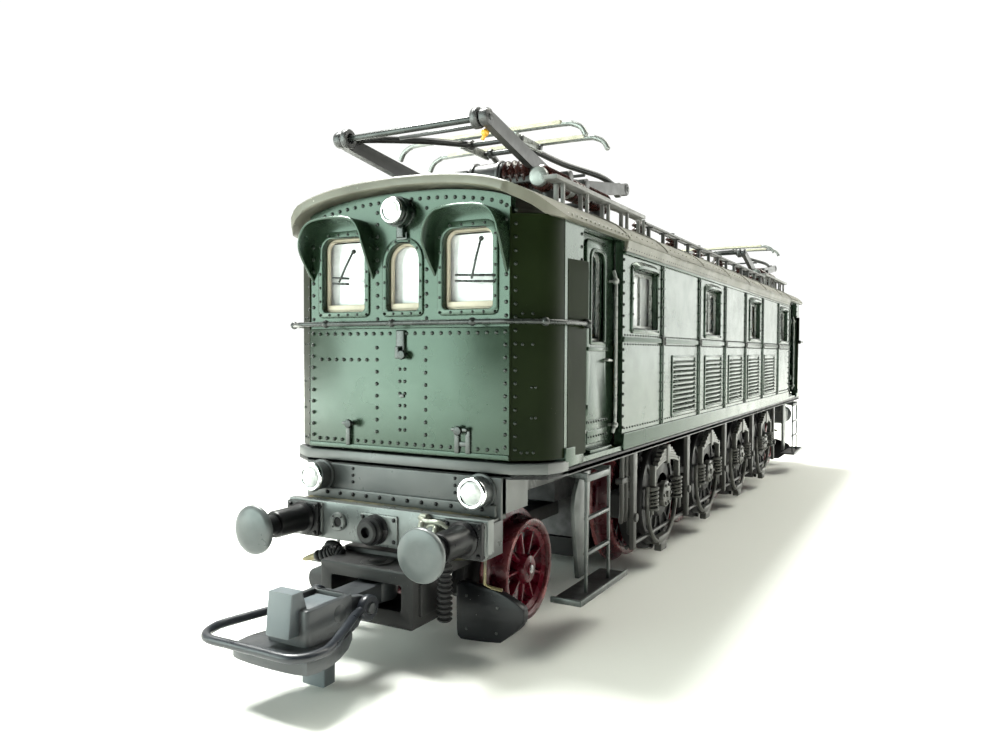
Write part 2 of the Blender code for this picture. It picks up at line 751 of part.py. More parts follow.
def make_ends():
    """The buffers, light guides and steps of both ends."""
    for end, where in ((-1, "front"), (1, "rear")):
        turned = end > 0
        for side, hand in ((-1, "left"), (1, "right")):
            crown = 0.35 if side < 0 else 0.0
            profile = [
                (0, -85.8),
                (1.4, -85.8),
                (1.4, -90.2),
                (1.05, -90.2),
                (1.05, -92.5),
                (2.4, -92.9),
                (2.4, -BUFFER_FACE_Y + crown),
                (0, -BUFFER_FACE_Y),
            ]
            head = lathe("head", [(r, y) for r, y in profile], "y", segments=20)
            plate = block("plate", (-2.15, -86.2, -2.15), (2.15, -85.6, 2.15))
            at = (-end * side * BUFFER_X, 0, BUFFER_Z)
            part(f"buffer_{where}_{hand}", FRAME_GREY, [head, plate], at=at, turned=turned)
        shapes = [block("crossbar", (-11.2, -80.9, 16.4), (11.2, -79.9, 18.0))]
        for side in (-1, 1):
            shapes.append(drum("finger", 0.85, -84.3, -80.4, "y", (side * LAMP_X, LAMP_Z)))
        part(f"light_guide_{where}", CLEAR, shapes, turned=turned)
        for side, hand in ((-1, "left"), (1, "right")):
            make_step(f"cab_step_{where}_{hand}", -end * side, end)


def make_step(name, side, end):
    """Two tapered side plates, rungs and a wide foot board."""
    cheek = [(-3.0, 18.1), (0.1, 18.1), (0.1, 5.2), (-1.6, 5.2)]
    shapes = []
    for y in (-3.5, 3.0):
        shapes.append(prism("cheek", cheek, "y", y, y + 0.5))
    for z in (9.2, 12.9, 17.4):
        shapes.append(block("rung", (-0.7, -3.3, z), (0.1, 3.3, z + 0.5)))
    shapes.append(block("foot", (-2.5, -6.9, 4.9), (1.0, 6.9, 5.5)))
    step = part(name, BLACK, shapes, at=(side * 17.0, end * 68.9, 0))
    if side < 0:
        step.rotation_euler.z = math.pi
    return step


def make_casings():
    """The round drive covers in one casting on the right, and the brake gear on the left."""
    profile = [(0, 10.6), (8.2, 10.6), (8.2, 12.9), (7.4, 13.9), (3.2, 14.5), (0, 14.5)]
    shapes = [block("spine", (11.0, -50, 8.6), (13.0, 50, 12.2))]
    for y in DRIVER_YS:
        shapes.append(lathe("cover", profile, centre=(y, DRIVER_Z), segments=20))
        shapes.append(block("neck", (13.5, y - 2.6, 12.0), (14.5, y + 2.6, 18.1)))
    part("drive_casing_right", BLACK, shapes)

    shapes = [block("pull_rod", (-11.1, -51.4, 4.2), (-10.5, 51.4, 5.2))]
    for y in (-50.7, -25.3, 0.0, 25.3, 50.7):
        shapes.append(block("hanger", (-11.0, y - 0.7, 4.6), (-10.55, y + 0.7, 18.1)))
        for side in (-1, 1):
            if abs(y + side * 2) < 51:
                ys = sorted((y + side * 0.4, y + side * 2.6))
                shapes.append(block("shoe", (-10.8, ys[0], 8.2), (-8.4, ys[1], 12.8)))
    part("side_frame_left", BLACK, shapes)


def make_pantograph(end):
    """Base, two lower and two upper arms, and the pan head, folded."""
    where = "front" if end < 0 else "rear"
    turned = end > 0
    base_at = (0, end * PANTO_Y, 0)
    py, pz = PIVOT
    ky, kz = KNEE
    shapes = []
    for side in (-1, 1):
        xs = sorted((side * 9.5, side * 10.9))
        shapes.append(drum("long_insulator", 1.4, -9.5, 9.5, "y", (side * 10.2, 50.3)))
        for along in (-1, 1):
            ys = sorted((along * (py - 0.9), along * (py + 0.9)))
            shapes.append(block("bearing", (xs[0], ys[0], 50.6), (xs[1], ys[1], 52.6)))
            shapes.append(drum("foot", 1.0, 48.5, 50.2, "z", (side * 10.2, along * 7.2), 10))
    shapes.append(drum("spring_drum", 1.9, 0.6, 5.0, "x", (-7.6, 51.2)))
    shapes.append(drum("cross_insulator", 1.3, -7.1, -2.4, "x", (-8.4, 50.6)))
    for along in (-1, 1):
        bar_y = along * 8.6
        shapes.append(block("cross_bar", (-10.0, bar_y - 0.4, 50.0), (10.0, bar_y + 0.4, 50.8)))
        shapes.append(drum("arm_shaft", 0.5, -10.0, 10.0, "x", (along * py, pz)))
    part(f"pantograph_base_{where}", ARM_GREY, shapes, at=base_at, turned=turned)

    slope = math.atan2(kz - pz, ky - py)
    for along, hand in ((-1, "front"), (1, "rear")):
        # Each arm is drawn about its own pivot; along is the way it points from the base's middle.
        arm_at = (0, end * (PANTO_Y - along * py), pz)
        bar = [(0.0, -0.75), (ky - py, kz - pz - 0.5), (ky - py, kz - pz + 0.5), (0.0, 0.75)]
        bar = [(along * y, z) for y, z in bar]
        shapes = [drum("knee_rod", 0.45, -8.6, 8.6, "x", (along * (ky - py), kz - pz), 10)]
        cuts = [drum("bore", 0.5 + RUN, -10, 10)]
        for side in (-1, 1):
            xs = sorted((side * (ARM_X - 0.7), side * (ARM_X + 0.3)))
            shapes.append(prism("bar", bar, "x", *xs))
            shapes.append(drum("boss", 1.2, xs[0] - 0.1, xs[1] + 0.1))
        part(f"pantograph_lower_{hand}_{where}", ARM_GREY, shapes, cuts, at=arm_at, turned=turned)

        # The upper arm is drawn about the knee, running back to the head's hinge.
        knee_at = (0, end * (PANTO_Y - along * ky), kz)
        back = ky - py
        rise = HEAD_Z - kz
        shapes = [drum("head_rod", 0.4, -4.5, 4.5, "x", (-along * back, rise), 10)]
        for side in (-1, 1):
            xs = sorted((side * 6.5, side * 7.3))
            shapes.append(ring("eye", 0.45 + RUN, 1.1, *xs, segments=10))
            path = [
                (side * 6.9, -along * 0.8, 0.2),
                (side * 6.9, -along * 5.4, 1.1),
                (side * 2.9, -along * back, rise),
            ]
            shapes.append(rod("tube", path, 0.4, 6))
        part(f"pantograph_upper_{hand}_{where}", ARM_GREY, shapes, at=knee_at, turned=turned)

    head_at = (0, end * (PANTO_Y + py), HEAD_Z)
    shapes = []
    for side in (-1, 1):
        xs = sorted((side * 3.7, side * 4.2))
        shapes.append(block("link", (xs[0], -0.9, -0.8), (xs[1], 2 * py + 0.9, 0.8)))
    cuts = []
    for y in (0, 2 * py):
        cuts.append(drum("bore", 0.4 + RUN, -6, 6, "x", (y, 0)))
    horn = [(10.6, 1.1), (12.4, 0.4), (13.4, -1.0), (12.8, -1.4), (11.9, -0.1), (10.4, 0.5)]
    for y in (-1.0, 2 * py + 1.0):
        shapes.append(prism("strip", both(horn), "y", y - 0.45, y + 0.45))
    part(f"pantograph_head_{where}", STRIP, shapes, cuts, at=head_at, turned=turned)


make_body()
make_roof()
make_glazing()
make_cab("cab_interior_front", False)
make_cab("cab_interior_rear", True)
make_chassis()
make_underframe()
make_gearbox_cover()
make_board()
make_motor()
make_gears()
make_wheels()
make_casings()
make_ends()
for END, WHERE in ((-1, "front"), (1, "rear")):
    make_pony(f"pony_truck_{WHERE}", END)
    make_coupler(END)
    make_pantograph(END)
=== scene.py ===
"""The looks of the model electric locomotive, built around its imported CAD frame.

Everything is drawn in millimetres for the front end (-Y) and the right side (+X), in the CAD's
frame. The rear end is the front end turned half a turn about Z, as in the CAD.
"""

import itertools
import math

import bmesh
import bpy
from mathutils import Matrix, Vector
from mathutils.geometry import tessellate_polygon


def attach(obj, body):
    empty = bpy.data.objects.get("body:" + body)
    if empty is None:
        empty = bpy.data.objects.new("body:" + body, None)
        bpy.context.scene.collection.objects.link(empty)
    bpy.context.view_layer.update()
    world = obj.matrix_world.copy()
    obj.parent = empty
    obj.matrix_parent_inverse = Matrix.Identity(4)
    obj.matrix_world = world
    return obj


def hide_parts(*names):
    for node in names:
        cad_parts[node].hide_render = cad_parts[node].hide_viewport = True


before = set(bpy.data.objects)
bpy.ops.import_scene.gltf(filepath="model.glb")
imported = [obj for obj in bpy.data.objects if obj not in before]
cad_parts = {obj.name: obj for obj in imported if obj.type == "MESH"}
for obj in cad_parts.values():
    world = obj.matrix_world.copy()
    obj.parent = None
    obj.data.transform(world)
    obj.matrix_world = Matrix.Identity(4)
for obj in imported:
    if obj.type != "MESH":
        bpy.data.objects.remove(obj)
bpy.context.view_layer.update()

MM = 0.001
SIDES = (-1, 1)
# Each end's name, and whether its pieces are the front's turned half a turn.
ENDS = (("front", False), ("rear", True))
HANDS = ((-1, "left"), (1, "right"))
HALF_TURN = Matrix.Rotation(math.pi, 4, "Z")


# ---------------------------------------------------------------- shapes
# Directions in which a flat outline (u, v) is drawn out: its u, v and outward axes.
FACING = {
    "front": Matrix(((1, 0, 0), (0, 0, -1), (0, 1, 0))),
    "right": Matrix(((0, 0, 1), (1, 0, 0), (0, 1, 0))),
    "left": Matrix(((0, 0, -1), (-1, 0, 0), (0, 1, 0))),
    "up": Matrix(((1, 0, 0), (0, 1, 0), (0, 0, 1))),
}


def offset_loop(points, inset):
    """A closed outline moved in (counter-clockwise) or out (clockwise) by inset."""
    moved = []
    count = len(points)
    for index in range(count):
        before, here, after = points[index - 1], points[index], points[(index + 1) % count]
        first = Vector((here[0] - before[0], here[1] - before[1])).normalized()
        second = Vector((after[0] - here[0], after[1] - here[1])).normalized()
        normal = Vector((-first.y - second.y, first.x + second.x))
        if normal.length < 1e-6:
            normal = Vector((-first.y, first.x))
        normal.normalize()
        share = max(0.35, normal.dot(Vector((-first.y, first.x))))
        moved.append((here[0] + normal.x * inset / share, here[1] + normal.y * inset / share))
    return moved


def span(side, near, far):
    """Two distances from the middle, taken on one side of it, as low and high."""
    return sorted((side * near, side * far))


def area_of(points):
    return sum(a[0] * b[1] - b[0] * a[1] for a, b in zip(points, points[1:] + points[:1])) / 2


def rounded_rect(low_u, low_v, high_u, high_v, radius, steps=5, top=None):
    """A rectangle with round corners, counter-clockwise; top is another radius for its top."""
    top = radius if top is None else top
    corners = (
        (high_u - radius, low_v + radius, -90, radius),
        (high_u - top, high_v - top, 0, top),
        (low_u + top, high_v - top, 90, top),
        (low_u + radius, low_v + radius, 180, radius),
    )
    points = []
    for u, v, start, r in corners:
        for step in range(steps + 1):
            angle = math.radians(start + 90 * step / steps)
            points.append((u + r * math.cos(angle), v + r * math.sin(angle)))
    return points


def smooth_path(points, per=8, looped=False):
    """A Catmull-Rom curve through points."""
    points = [Vector(point) for point in points]
    result = []
    count = len(points)
    spans = count if looped else count - 1
    for index in range(spans):
        p1, p2 = points[index], points[(index + 1) % count]
        p0 = points[index - 1] if index or looped else p1 * 2 - p2
        p3 = points[(index + 2) % count] if index + 2 < count or looped else p2 * 2 - p1
        for step in range(per):
            t = step / per
            result.append(
                0.5 * (2 * p1 + (p2 - p0) * t + (2 * p0 - 5 * p1 + 4 * p2 - p3) * t * t
                       + (3 * p1 - p0 - 3 * p2 + p3) * t**3)
            )
    if not looped:
        result.append(points[-1])
    return result


class Shapes:
    """Closed shapes gathered as one piece's mesh, in millimetres."""

    def __init__(self):
        self.bm = bmesh.new()
        self.paint = 0

    def face(self, verts):
        try:
            made = self.bm.faces.new(verts)
        except ValueError:
            return
        made.material_index = self.paint

    def verts(self, points):
        return [self.bm.verts.new(Vector(point)) for point in points]

    def loft(self, rings, closed=False):
        """A skin over rings of equally many points, with flat caps if it isn't closed."""
        made = [self.verts(ring) for ring in rings]
        pairs = list(zip(made, made[1:]))
        if closed:
            pairs.append((made[-1], made[0]))
        for first, second in pairs:
            count = len(first)
            for index in range(count):
                after = (index + 1) % count
                self.face([first[index], first[after], second[after], second[index]])
        if not closed:
            self.face(made[0][::-1])
            self.face(made[-1])

    def plate(self, outline, low, high, facing="up", holes=(), edge=0.0, back=False):
        """A plate with any holes, from low to high along its outward axis, with rounded rims."""
        matrix = FACING[facing]
        loops = [list(outline) if area_of(outline) > 0 else list(outline)[::-1]]
        for hole in holes:
            loops.append(list(hole) if area_of(hole) < 0 else list(hole)[::-1])
        levels = [(0, low)]
        if back and edge:
            levels = [(edge, low), (0.3 * edge, low + 0.3 * edge), (0, low + edge)]
        if edge:
            levels += [(0, high - edge), (0.3 * edge, high - 0.3 * edge), (edge, high)]
        else:
            levels.append((0, high))
        rings = []
        for inset, height in levels:
            level = []
            for loop in loops:
                moved = offset_loop(loop, inset) if inset else loop
                level.append(self.verts([matrix @ Vector((u, v, height)) for u, v in moved]))
            rings.append(level)
        for first, second in zip(rings, rings[1:]):
            for a, b in zip(first, second):
                for index in range(len(a)):
                    after = (index + 1) % len(a)
                    self.face([a[index], a[after], b[after], b[index]])
        flat = [[Vector((u, v, 0)) for u, v in loop] for loop in loops]
        for level, flip in ((rings[0], True), (rings[-1], False)):
            verts = [vert for loop in level for vert in loop]
            for a, b, c in tessellate_polygon(flat):
                corner = [verts[a], verts[b], verts[c]]
                pa, pb, pc = (sum(flat, [])[i] for i in (a, b, c))
                turned = (pb - pa).cross(pc - pa).z < 0
                self.face(corner[::-1] if turned != flip else corner)

    def box(self, low, high, edge=0.12, facing="up"):
        """A box between two corners with rounded rims."""
        edge = min([edge] + [0.45 * (b - a) for a, b in zip(low, high)])
        outline = rounded_rect(low[0], low[1], high[0], high[1], edge, 2)
        self.plate(outline, low[2], high[2], facing, edge=edge, back=True)

    def lathe(self, profile, axis="x", centre=(0, 0, 0), segments=32, closed=False):
        """A profile of (radius, height) turned about an axis through centre."""
        turns = {
            "x": Matrix(((0, 0, 1), (1, 0, 0), (0, 1, 0))),
            "y": Matrix(((0, 1, 0), (0, 0, 1), (1, 0, 0))),
            "z": Matrix.Identity(3),
        }
        turn = turns[axis]
        centre = Vector(centre)
        rings = []
        for radius, height in profile:
            ring = []
            for step in range(segments if radius > 1e-6 else 1):
                angle = 2 * math.pi * step / segments
                local = Vector((radius * math.cos(angle), radius * math.sin(angle), height))
                ring.append(self.verts([centre + turn @ local])[0])
            rings.append(ring)
        pairs = list(zip(rings, rings[1:]))
        if closed:
            pairs.append((rings[-1], rings[0]))
        for first, second in pairs:
            for step in range(segments):
                after = (step + 1) % segments
                ring = [first[step % len(first)], first[after % len(first)],
                        second[after % len(second)], second[step % len(second)]]
                face = list(dict.fromkeys(ring))
                if len(face) > 2:
                    self.face(face)

    def drum(self, radius, low, high, axis="x", centre=(0, 0, 0), segments=24, edge=0.08):
        edge = min(edge, 0.4 * radius, 0.4 * (high - low))
        profile = [(0, low), (radius - edge, low), (radius - 0.3 * edge, low + 0.3 * edge),
                   (radius, low + edge), (radius, high - edge),
                   (radius - 0.3 * edge, high - 0.3 * edge), (radius - edge, high), (0, high)]
        self.lathe(profile, axis, centre, segments)

    def ring(self, inner, outer, low, high, axis="x", centre=(0, 0, 0), segments=24, edge=0.06):
        edge = min(edge, 0.3 * (outer - inner), 0.4 * (high - low))
        profile = [(inner, low + edge), (inner + edge, low), (outer - edge, low),
                   (outer, low + edge), (outer, high - edge), (outer - edge, high),
                   (inner + edge, high), (inner, high - edge)]
        self.lathe(profile, axis, centre, segments, closed=True)

    def tube(self, path, radius, sides=10, looped=False, up=(0, 0, 1)):
        """A round bar along a path; radius may be one number or one for each point."""
        path = [Vector(point) for point in path]
        count = len(path)
        radii = radius if isinstance(radius, (list, tuple)) else [radius] * count
        normal = None
        rings = []
        for index, point in enumerate(path):
            before = path[index - 1] if index or looped else point
            after = path[(index + 1) % count] if index < count - 1 or looped else point
            along = (after - before).normalized()
            if normal is None:
                helper = Vector(up) if abs(along.dot(Vector(up))) < 0.9 else Vector((1, 0, 0))
                normal = helper - along * helper.dot(along)
            normal = (normal - along * normal.dot(along)).normalized()
            side = along.cross(normal)
            ring = []
            for step in range(sides):
                angle = 2 * math.pi * (step + 0.5) / sides
                spoke = math.cos(angle) * normal + math.sin(angle) * side
                ring.append(point + radii[index] * spoke)
            rings.append(ring)
        if looped:
            self.loft(rings, closed=True)
            return
        ends = []
        for ring, point, inward in ((rings[0], path[0], path[1]), (rings[-1], path[-1], path[-2])):
            out = (point - inward).normalized() * 0.3 * radii[0]
            ends.append([point + (spot - point) * 0.72 + out for spot in ring])
        self.loft([ends[0]] + rings + [ends[1]])

    def dome(self, at, outward, radius=0.22, height=0.17, sides=8):
        """A rivet's head: a low dome with a flat foot sunk into what it sits on."""
        outward = Vector(outward).normalized()
        helper = Vector((0, 0, 1)) if abs(outward.z) < 0.9 else Vector((1, 0, 0))
        u = helper.cross(outward).normalized()
        v = outward.cross(u)
        at = Vector(at)
        rings = []
        for share, lift in ((1.0, -0.06), (1.0, 0.15), (0.78, 0.68), (0.4, 0.95)):
            ring = []
            for step in range(sides):
                angle = 2 * math.pi * step / sides
                spoke = (u * math.cos(angle) + v * math.sin(angle)) * radius * share
                ring.append(at + spoke + outward * (height * lift if lift > 0 else lift))
            rings.append(ring)
        self.loft(rings)

    def ball(self, at, radius, sides=16, rings=9):
        profile = []
        for step in range(rings + 1):
            angle = math.pi * step / rings
            profile.append((radius * math.sin(angle) if 0 < step < rings else 0,
                            -radius * math.cos(angle)))
        self.lathe(profile, "z", at, sides)

    def rivets(self, start, end, spacing, outward, radius=0.22, height=0.17):
        """A row of rivets from start to end, about spacing apart."""
        start, end = Vector(start), Vector(end)
        count = max(1, round((end - start).length / spacing))
        for index in range(count + 1):
            self.dome(start.lerp(end, index / count), outward, radius, height)


def piece(name, shapes, materials, body, turned=False, twice=False, replaces=(), sharp=32):
    """One finished piece that rides on a body. twice adds its copy turned half a turn about Z."""
    bm = shapes.bm
    if twice:
        made = bmesh.ops.duplicate(bm, geom=bm.verts[:] + bm.edges[:] + bm.faces[:])["geom"]
        copies = [item for item in made if isinstance(item, bmesh.types.BMVert)]
        bmesh.ops.transform(bm, matrix=HALF_TURN, verts=copies)
    if turned:
        bmesh.ops.transform(bm, matrix=HALF_TURN, verts=bm.verts)
    bmesh.ops.recalc_face_normals(bm, faces=bm.faces)
    bmesh.ops.scale(bm, vec=(MM, MM, MM), verts=bm.verts)
    mesh = bpy.data.meshes.new(name)
    bm.to_mesh(mesh)
    bm.free()
    for material in materials if isinstance(materials, (list, tuple)) else [materials]:
        mesh.materials.append(material)
    mesh.shade_smooth()
    mesh.set_sharp_from_angle(angle=math.radians(sharp))
    obj = bpy.data.objects.new(name, mesh)
    bpy.context.scene.collection.objects.link(obj)
    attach(obj, body)
    if replaces:
        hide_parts(*replaces)
    return obj


# ---------------------------------------------------------------- materials
class Finish:
    """A Principled material whose colour, roughness and bump come from noise in object space."""

    def __init__(self, name, roughness=0.4, metallic=0.0, **sockets):
        self.material = bpy.data.materials.new(name)
        self.material.use_nodes = True
        self.nodes = self.material.node_tree.nodes
        self.links = self.material.node_tree.links
        self.shader = self.nodes["Principled BSDF"]
        self.shader.inputs["Roughness"].default_value = roughness
        self.shader.inputs["Metallic"].default_value = metallic
        for socket, value in sockets.items():
            self.shader.inputs[socket.replace("_", " ")].default_value = value
        self.coordinates = self.nodes.new("ShaderNodeTexCoord").outputs["Object"]

    def noise(self, size, detail=3.0):
        """Noise whose features are about size millimetres across."""
        node = self.nodes.new("ShaderNodeTexNoise")
        node.inputs["Scale"].default_value = 1000.0 / size
        node.inputs["Detail"].default_value = detail
        node.inputs["Roughness"].default_value = 0.55
        self.links.new(self.coordinates, node.inputs["Vector"])
        return node.outputs["Fac"]

    def ramp(self, source, stops):
        """A colour ramp over a value; stops are (position, colour)."""
        node = self.nodes.new("ShaderNodeValToRGB")
        elements = node.color_ramp.elements
        while len(elements) < len(stops):
            elements.new(0.5)
        for element, (position, colour) in zip(elements, stops):
            element.position = position
            element.color = (*colour, 1.0) if len(colour) == 3 else colour
        self.links.new(source, node.inputs["Fac"])
        return node.outputs["Color"]

    def spread(self, source, low, high, start=0.3, end=0.7):
        """A value mapped from start..end to low..high."""
        node = self.nodes.new("ShaderNodeMapRange")
        for socket, value in (("From Min", start), ("From Max", end), ("To Min", low), ("To Max", high)):
            node.inputs[socket].default_value = value
        self.links.new(source, node.inputs["Value"])
        return node.outputs["Result"]

    def blend(self, factor, first, second):
        """Two colours mixed by a value."""
        node = self.nodes.new("ShaderNodeMix")
        node.data_type = "RGBA"
        self.links.new(factor, node.inputs["Factor"])
        for socket, value in (("A", first), ("B", second)):
            target = [entry for entry in node.inputs if entry.name == socket and entry.type == "RGBA"][0]
            if isinstance(value, tuple):
                target.default_value = (*value, 1.0)
            else:
                self.links.new(value, target)
        return [entry for entry in node.outputs if entry.type == "RGBA"][0]

    def specks(self, size, share):
        """Sparse small specks in patches of about 8 mm, as 0..1; size in millimetres."""
        cells = self.nodes.new("ShaderNodeTexVoronoi")
        cells.inputs["Scale"].default_value = 1000.0 / size
        self.links.new(self.coordinates, cells.inputs["Vector"])
        near = self.spread(cells.outputs["Distance"], 1.0, 0.0, share * 0.6, share)
        patches = self.spread(self.noise(8.0, 4), 0.0, 1.0, 0.5, 0.62)
        both = self.nodes.new("ShaderNodeMath")
        both.operation = "MULTIPLY"
        self.links.new(near, both.inputs[0])
        self.links.new(patches, both.inputs[1])
        return both.outputs["Value"]

    def worn_edges(self):
        """Where the mesh bulges sharply, as 0..1."""
        geometry = self.nodes.new("ShaderNodeNewGeometry")
        return self.spread(geometry.outputs["Pointiness"], 0.0, 1.0, 0.52, 0.6)

    def colour(self, source):
        self.links.new(source, self.shader.inputs["Base Color"])

    def roughness(self, source):
        self.links.new(source, self.shader.inputs["Roughness"])

    def bump(self, source, depth, strength=0.5):
        """Bump of about depth millimetres."""
        node = self.nodes.new("ShaderNodeBump")
        node.inputs["Distance"].default_value = depth * MM
        node.inputs["Strength"].default_value = strength
        self.links.new(source, node.inputs["Height"])
        self.links.new(node.outputs["Normal"], self.shader.inputs["Normal"])


def mottled(name, dark, light, roughness, size=3.0, metallic=0.0, grain=0.25, depth=0.02,
            spread=0.08, dust=None, edges=None, strength=0.5, **sockets):
    """Plastic, paint or metal with soft clouds, fine grain, and any dust or worn edges."""
    finish = Finish(name, roughness, metallic, **sockets)
    clouds = finish.noise(size, 4.0)
    colour = finish.ramp(clouds, [(0.32, dark), (0.68, light)])
    if edges:
        colour = finish.blend(finish.worn_edges(), colour, edges)
    if dust:
        colour = finish.blend(finish.specks(dust[0], dust[1]), colour, dust[2])
    finish.colour(colour)
    low, high = max(0.03, roughness - spread), min(1.0, roughness + spread)
    finish.roughness(finish.spread(finish.noise(size * 0.6, 3.0), low, high))
    finish.bump(finish.noise(grain, 2.0), depth, strength)
    return finish.material


GREEN = mottled("green_paint", (0.0075, 0.0160, 0.0080), (0.0110, 0.0220, 0.0115), 0.24, 7.0,
                grain=0.5, depth=0.003, dust=(0.7, 0.035, (0.16, 0.19, 0.15)), spread=0.05,
                strength=0.3, Specular_IOR_Level=0.62, Specular_Tint=(0.78, 1.0, 0.86, 1.0))
# A darker, duller green for the slanted corners and wind shields. In the photograph they look
# nearly black, most likely because they mirror something dark, so this stands in for that light.
CORNER_PAINTED_SHADE = mottled("corner_painted_shade", (0.0054, 0.0092, 0.0026), (0.0080, 0.0128, 0.0040), 0.34, 7.0,
                       grain=0.5, depth=0.003, dust=(0.7, 0.035, (0.12, 0.13, 0.09)), spread=0.05,
                       strength=0.3, Specular_IOR_Level=0.06)
# Rivet heads in a darker green than the walls: painted shade, which deepens the dark that the small domes
# mirror.
RIVET_PAINTED_SHADE = mottled("rivet_painted_shade", (0.004, 0.008, 0.005), (0.007, 0.012, 0.008), 0.30, 2.0, depth=0.005)
ROOF = mottled("roof_paint", (0.085, 0.083, 0.062), (0.130, 0.127, 0.098), 0.44, 5.0, grain=0.4,
               depth=0.012, dust=(1.1, 0.10, (0.48, 0.47, 0.42)), Specular_IOR_Level=0.5)
FRAME_GREY = mottled("frame_paint", (0.010, 0.013, 0.015), (0.018, 0.023, 0.026), 0.34, 4.0,
                     grain=0.3, depth=0.008, dust=(0.8, 0.10, (0.30, 0.31, 0.30)),
                     edges=(0.10, 0.105, 0.10))
BLACK = mottled("black_plastic", (0.0045, 0.0045, 0.005), (0.008, 0.008, 0.009), 0.34, 3.0,
                grain=0.35, depth=0.012, dust=(0.5, 0.06, (0.30, 0.30, 0.28)), Specular_IOR_Level=0.32)
SATIN = mottled("satin_black", (0.0055, 0.0055, 0.006), (0.010, 0.010, 0.011), 0.42, 2.5,
                grain=0.3, depth=0.02, dust=(0.5, 0.06, (0.28, 0.28, 0.27)), edges=(0.03, 0.03, 0.03),
                Specular_IOR_Level=0.22)
COUPLER = mottled("coupler_plastic", (0.012, 0.014, 0.016), (0.024, 0.027, 0.030), 0.38, 3.0,
                  grain=0.4, depth=0.02, edges=(0.07, 0.075, 0.08))
HOOK = mottled("hook_plastic", (0.040, 0.050, 0.056), (0.060, 0.070, 0.078), 0.38, 3.0,
               grain=0.4, depth=0.02, edges=(0.12, 0.14, 0.15))
CRIMSON = mottled("wheel_red", (0.085, 0.002, 0.009), (0.15, 0.005, 0.018), 0.26, 2.0,
                  grain=0.4, depth=0.01, dust=(0.7, 0.08, (0.25, 0.12, 0.12)))
STEEL = mottled("bright_steel", (0.42, 0.42, 0.43), (0.62, 0.62, 0.63), 0.24, 1.5, 1.0,
                grain=0.2, depth=0.004)
CHROME = mottled("chrome", (0.72, 0.73, 0.74), (0.86, 0.87, 0.88), 0.12, 1.5, 1.0,
                 grain=0.3, depth=0.002, spread=0.05)
RAIL_METAL = mottled("rail_paint", (0.018, 0.021, 0.020), (0.036, 0.040, 0.038), 0.28, 2.0, 0.35,
                     grain=0.3, depth=0.006)
ARM_METAL = mottled("pantograph_metal", (0.007, 0.0075, 0.008), (0.014, 0.015, 0.016), 0.36, 2.0,
                    0.1, grain=0.3, depth=0.01, edges=(0.05, 0.05, 0.05))
STRIP = mottled("contact_strip", (0.50, 0.45, 0.34), (0.66, 0.61, 0.48), 0.38, 1.2, 0.5,
                grain=0.2, depth=0.01)
INSULATOR = mottled("insulator_brown", (0.022, 0.005, 0.004), (0.045, 0.011, 0.008), 0.25, 1.5,
                    grain=0.3, depth=0.004, Coat_Weight=0.4, Coat_Roughness=0.1)
PLANK = mottled("walkway_grey", (0.15, 0.15, 0.145), (0.23, 0.23, 0.22), 0.5, 2.0,
                grain=0.3, depth=0.02)
CREAM = mottled("cream_plastic", (0.42, 0.37, 0.28), (0.54, 0.48, 0.37), 0.45, 2.5, grain=0.3,
                depth=0.006)
BRASS = mottled("brass", (0.50, 0.33, 0.10), (0.66, 0.46, 0.17), 0.30, 1.2, 1.0, grain=0.2,
                depth=0.004)
GEAR = mottled("gear_plastic", (0.62, 0.60, 0.50), (0.72, 0.70, 0.62), 0.45, 2.5, depth=0.006)
CAST = mottled("cast_metal", (0.060, 0.060, 0.063), (0.105, 0.105, 0.108), 0.5, 1.5, 0.6,
               grain=0.35, depth=0.03)
CAB = mottled("cab_plastic", (0.30, 0.22, 0.11), (0.40, 0.31, 0.17), 0.5, 4.0, depth=0.012)
BOARD = mottled("board_lacquer", (0.012, 0.070, 0.022), (0.024, 0.110, 0.038), 0.32, 1.6,
                grain=0.4, depth=0.01)
AMBER = mottled("amber_lacquer", (0.60, 0.28, 0.02), (0.75, 0.40, 0.04), 0.3, 0.8, depth=0.004)
ROOF_RIVET = mottled("roof_rivet", (0.16, 0.16, 0.13), (0.24, 0.24, 0.20), 0.45, 2.0, depth=0.006)
BEAM = mottled("beam_paint", (0.062, 0.074, 0.074), (0.100, 0.115, 0.115), 0.32, 3.5, 0.35,
               grain=0.35, depth=0.008, dust=(0.8, 0.09, (0.34, 0.35, 0.33)), edges=(0.15, 0.16, 0.155))
TREADPLATE = mottled("worn_shelf", (0.060, 0.058, 0.045), (0.240, 0.200, 0.090), 0.36, 1.4, 0.4,
                     grain=0.3, depth=0.012, dust=(0.5, 0.12, (0.45, 0.38, 0.20)))
COCK = mottled("cock_metal", (0.22, 0.23, 0.19), (0.38, 0.38, 0.32), 0.36, 1.0, 0.3, grain=0.25,
               depth=0.01)
BODY_DARK = mottled("lamp_paint", (0.004, 0.009, 0.006), (0.007, 0.014, 0.009), 0.26, 2.5, grain=0.4,
                    depth=0.005, Coat_Weight=0.3, Coat_Roughness=0.2)
DISC = mottled("buffer_disc", (0.055, 0.064, 0.064), (0.085, 0.096, 0.095), 0.34, 2.5, 0.2,
               grain=0.35, depth=0.008, edges=(0.14, 0.15, 0.15))
LADDER = mottled("ladder_paint", (0.05, 0.056, 0.054), (0.085, 0.094, 0.09), 0.34, 2.0, 0.3,
                 grain=0.3, depth=0.008)
PALE_METAL = mottled("pale_metal", (0.20, 0.21, 0.20), (0.30, 0.31, 0.295), 0.30, 1.5, 0.4,
                     grain=0.25, depth=0.006)
GUARD = mottled("guard_satin", (0.0035, 0.004, 0.0055), (0.0065, 0.007, 0.009), 0.38, 2.5, grain=0.3,
                depth=0.012, dust=(0.8, 0.05, (0.40, 0.41, 0.42)), Specular_IOR_Level=0.3)
LOOP = mottled("bow_plastic", (0.010, 0.012, 0.017), (0.018, 0.021, 0.027), 0.34, 2.0, grain=0.35,
               depth=0.012)
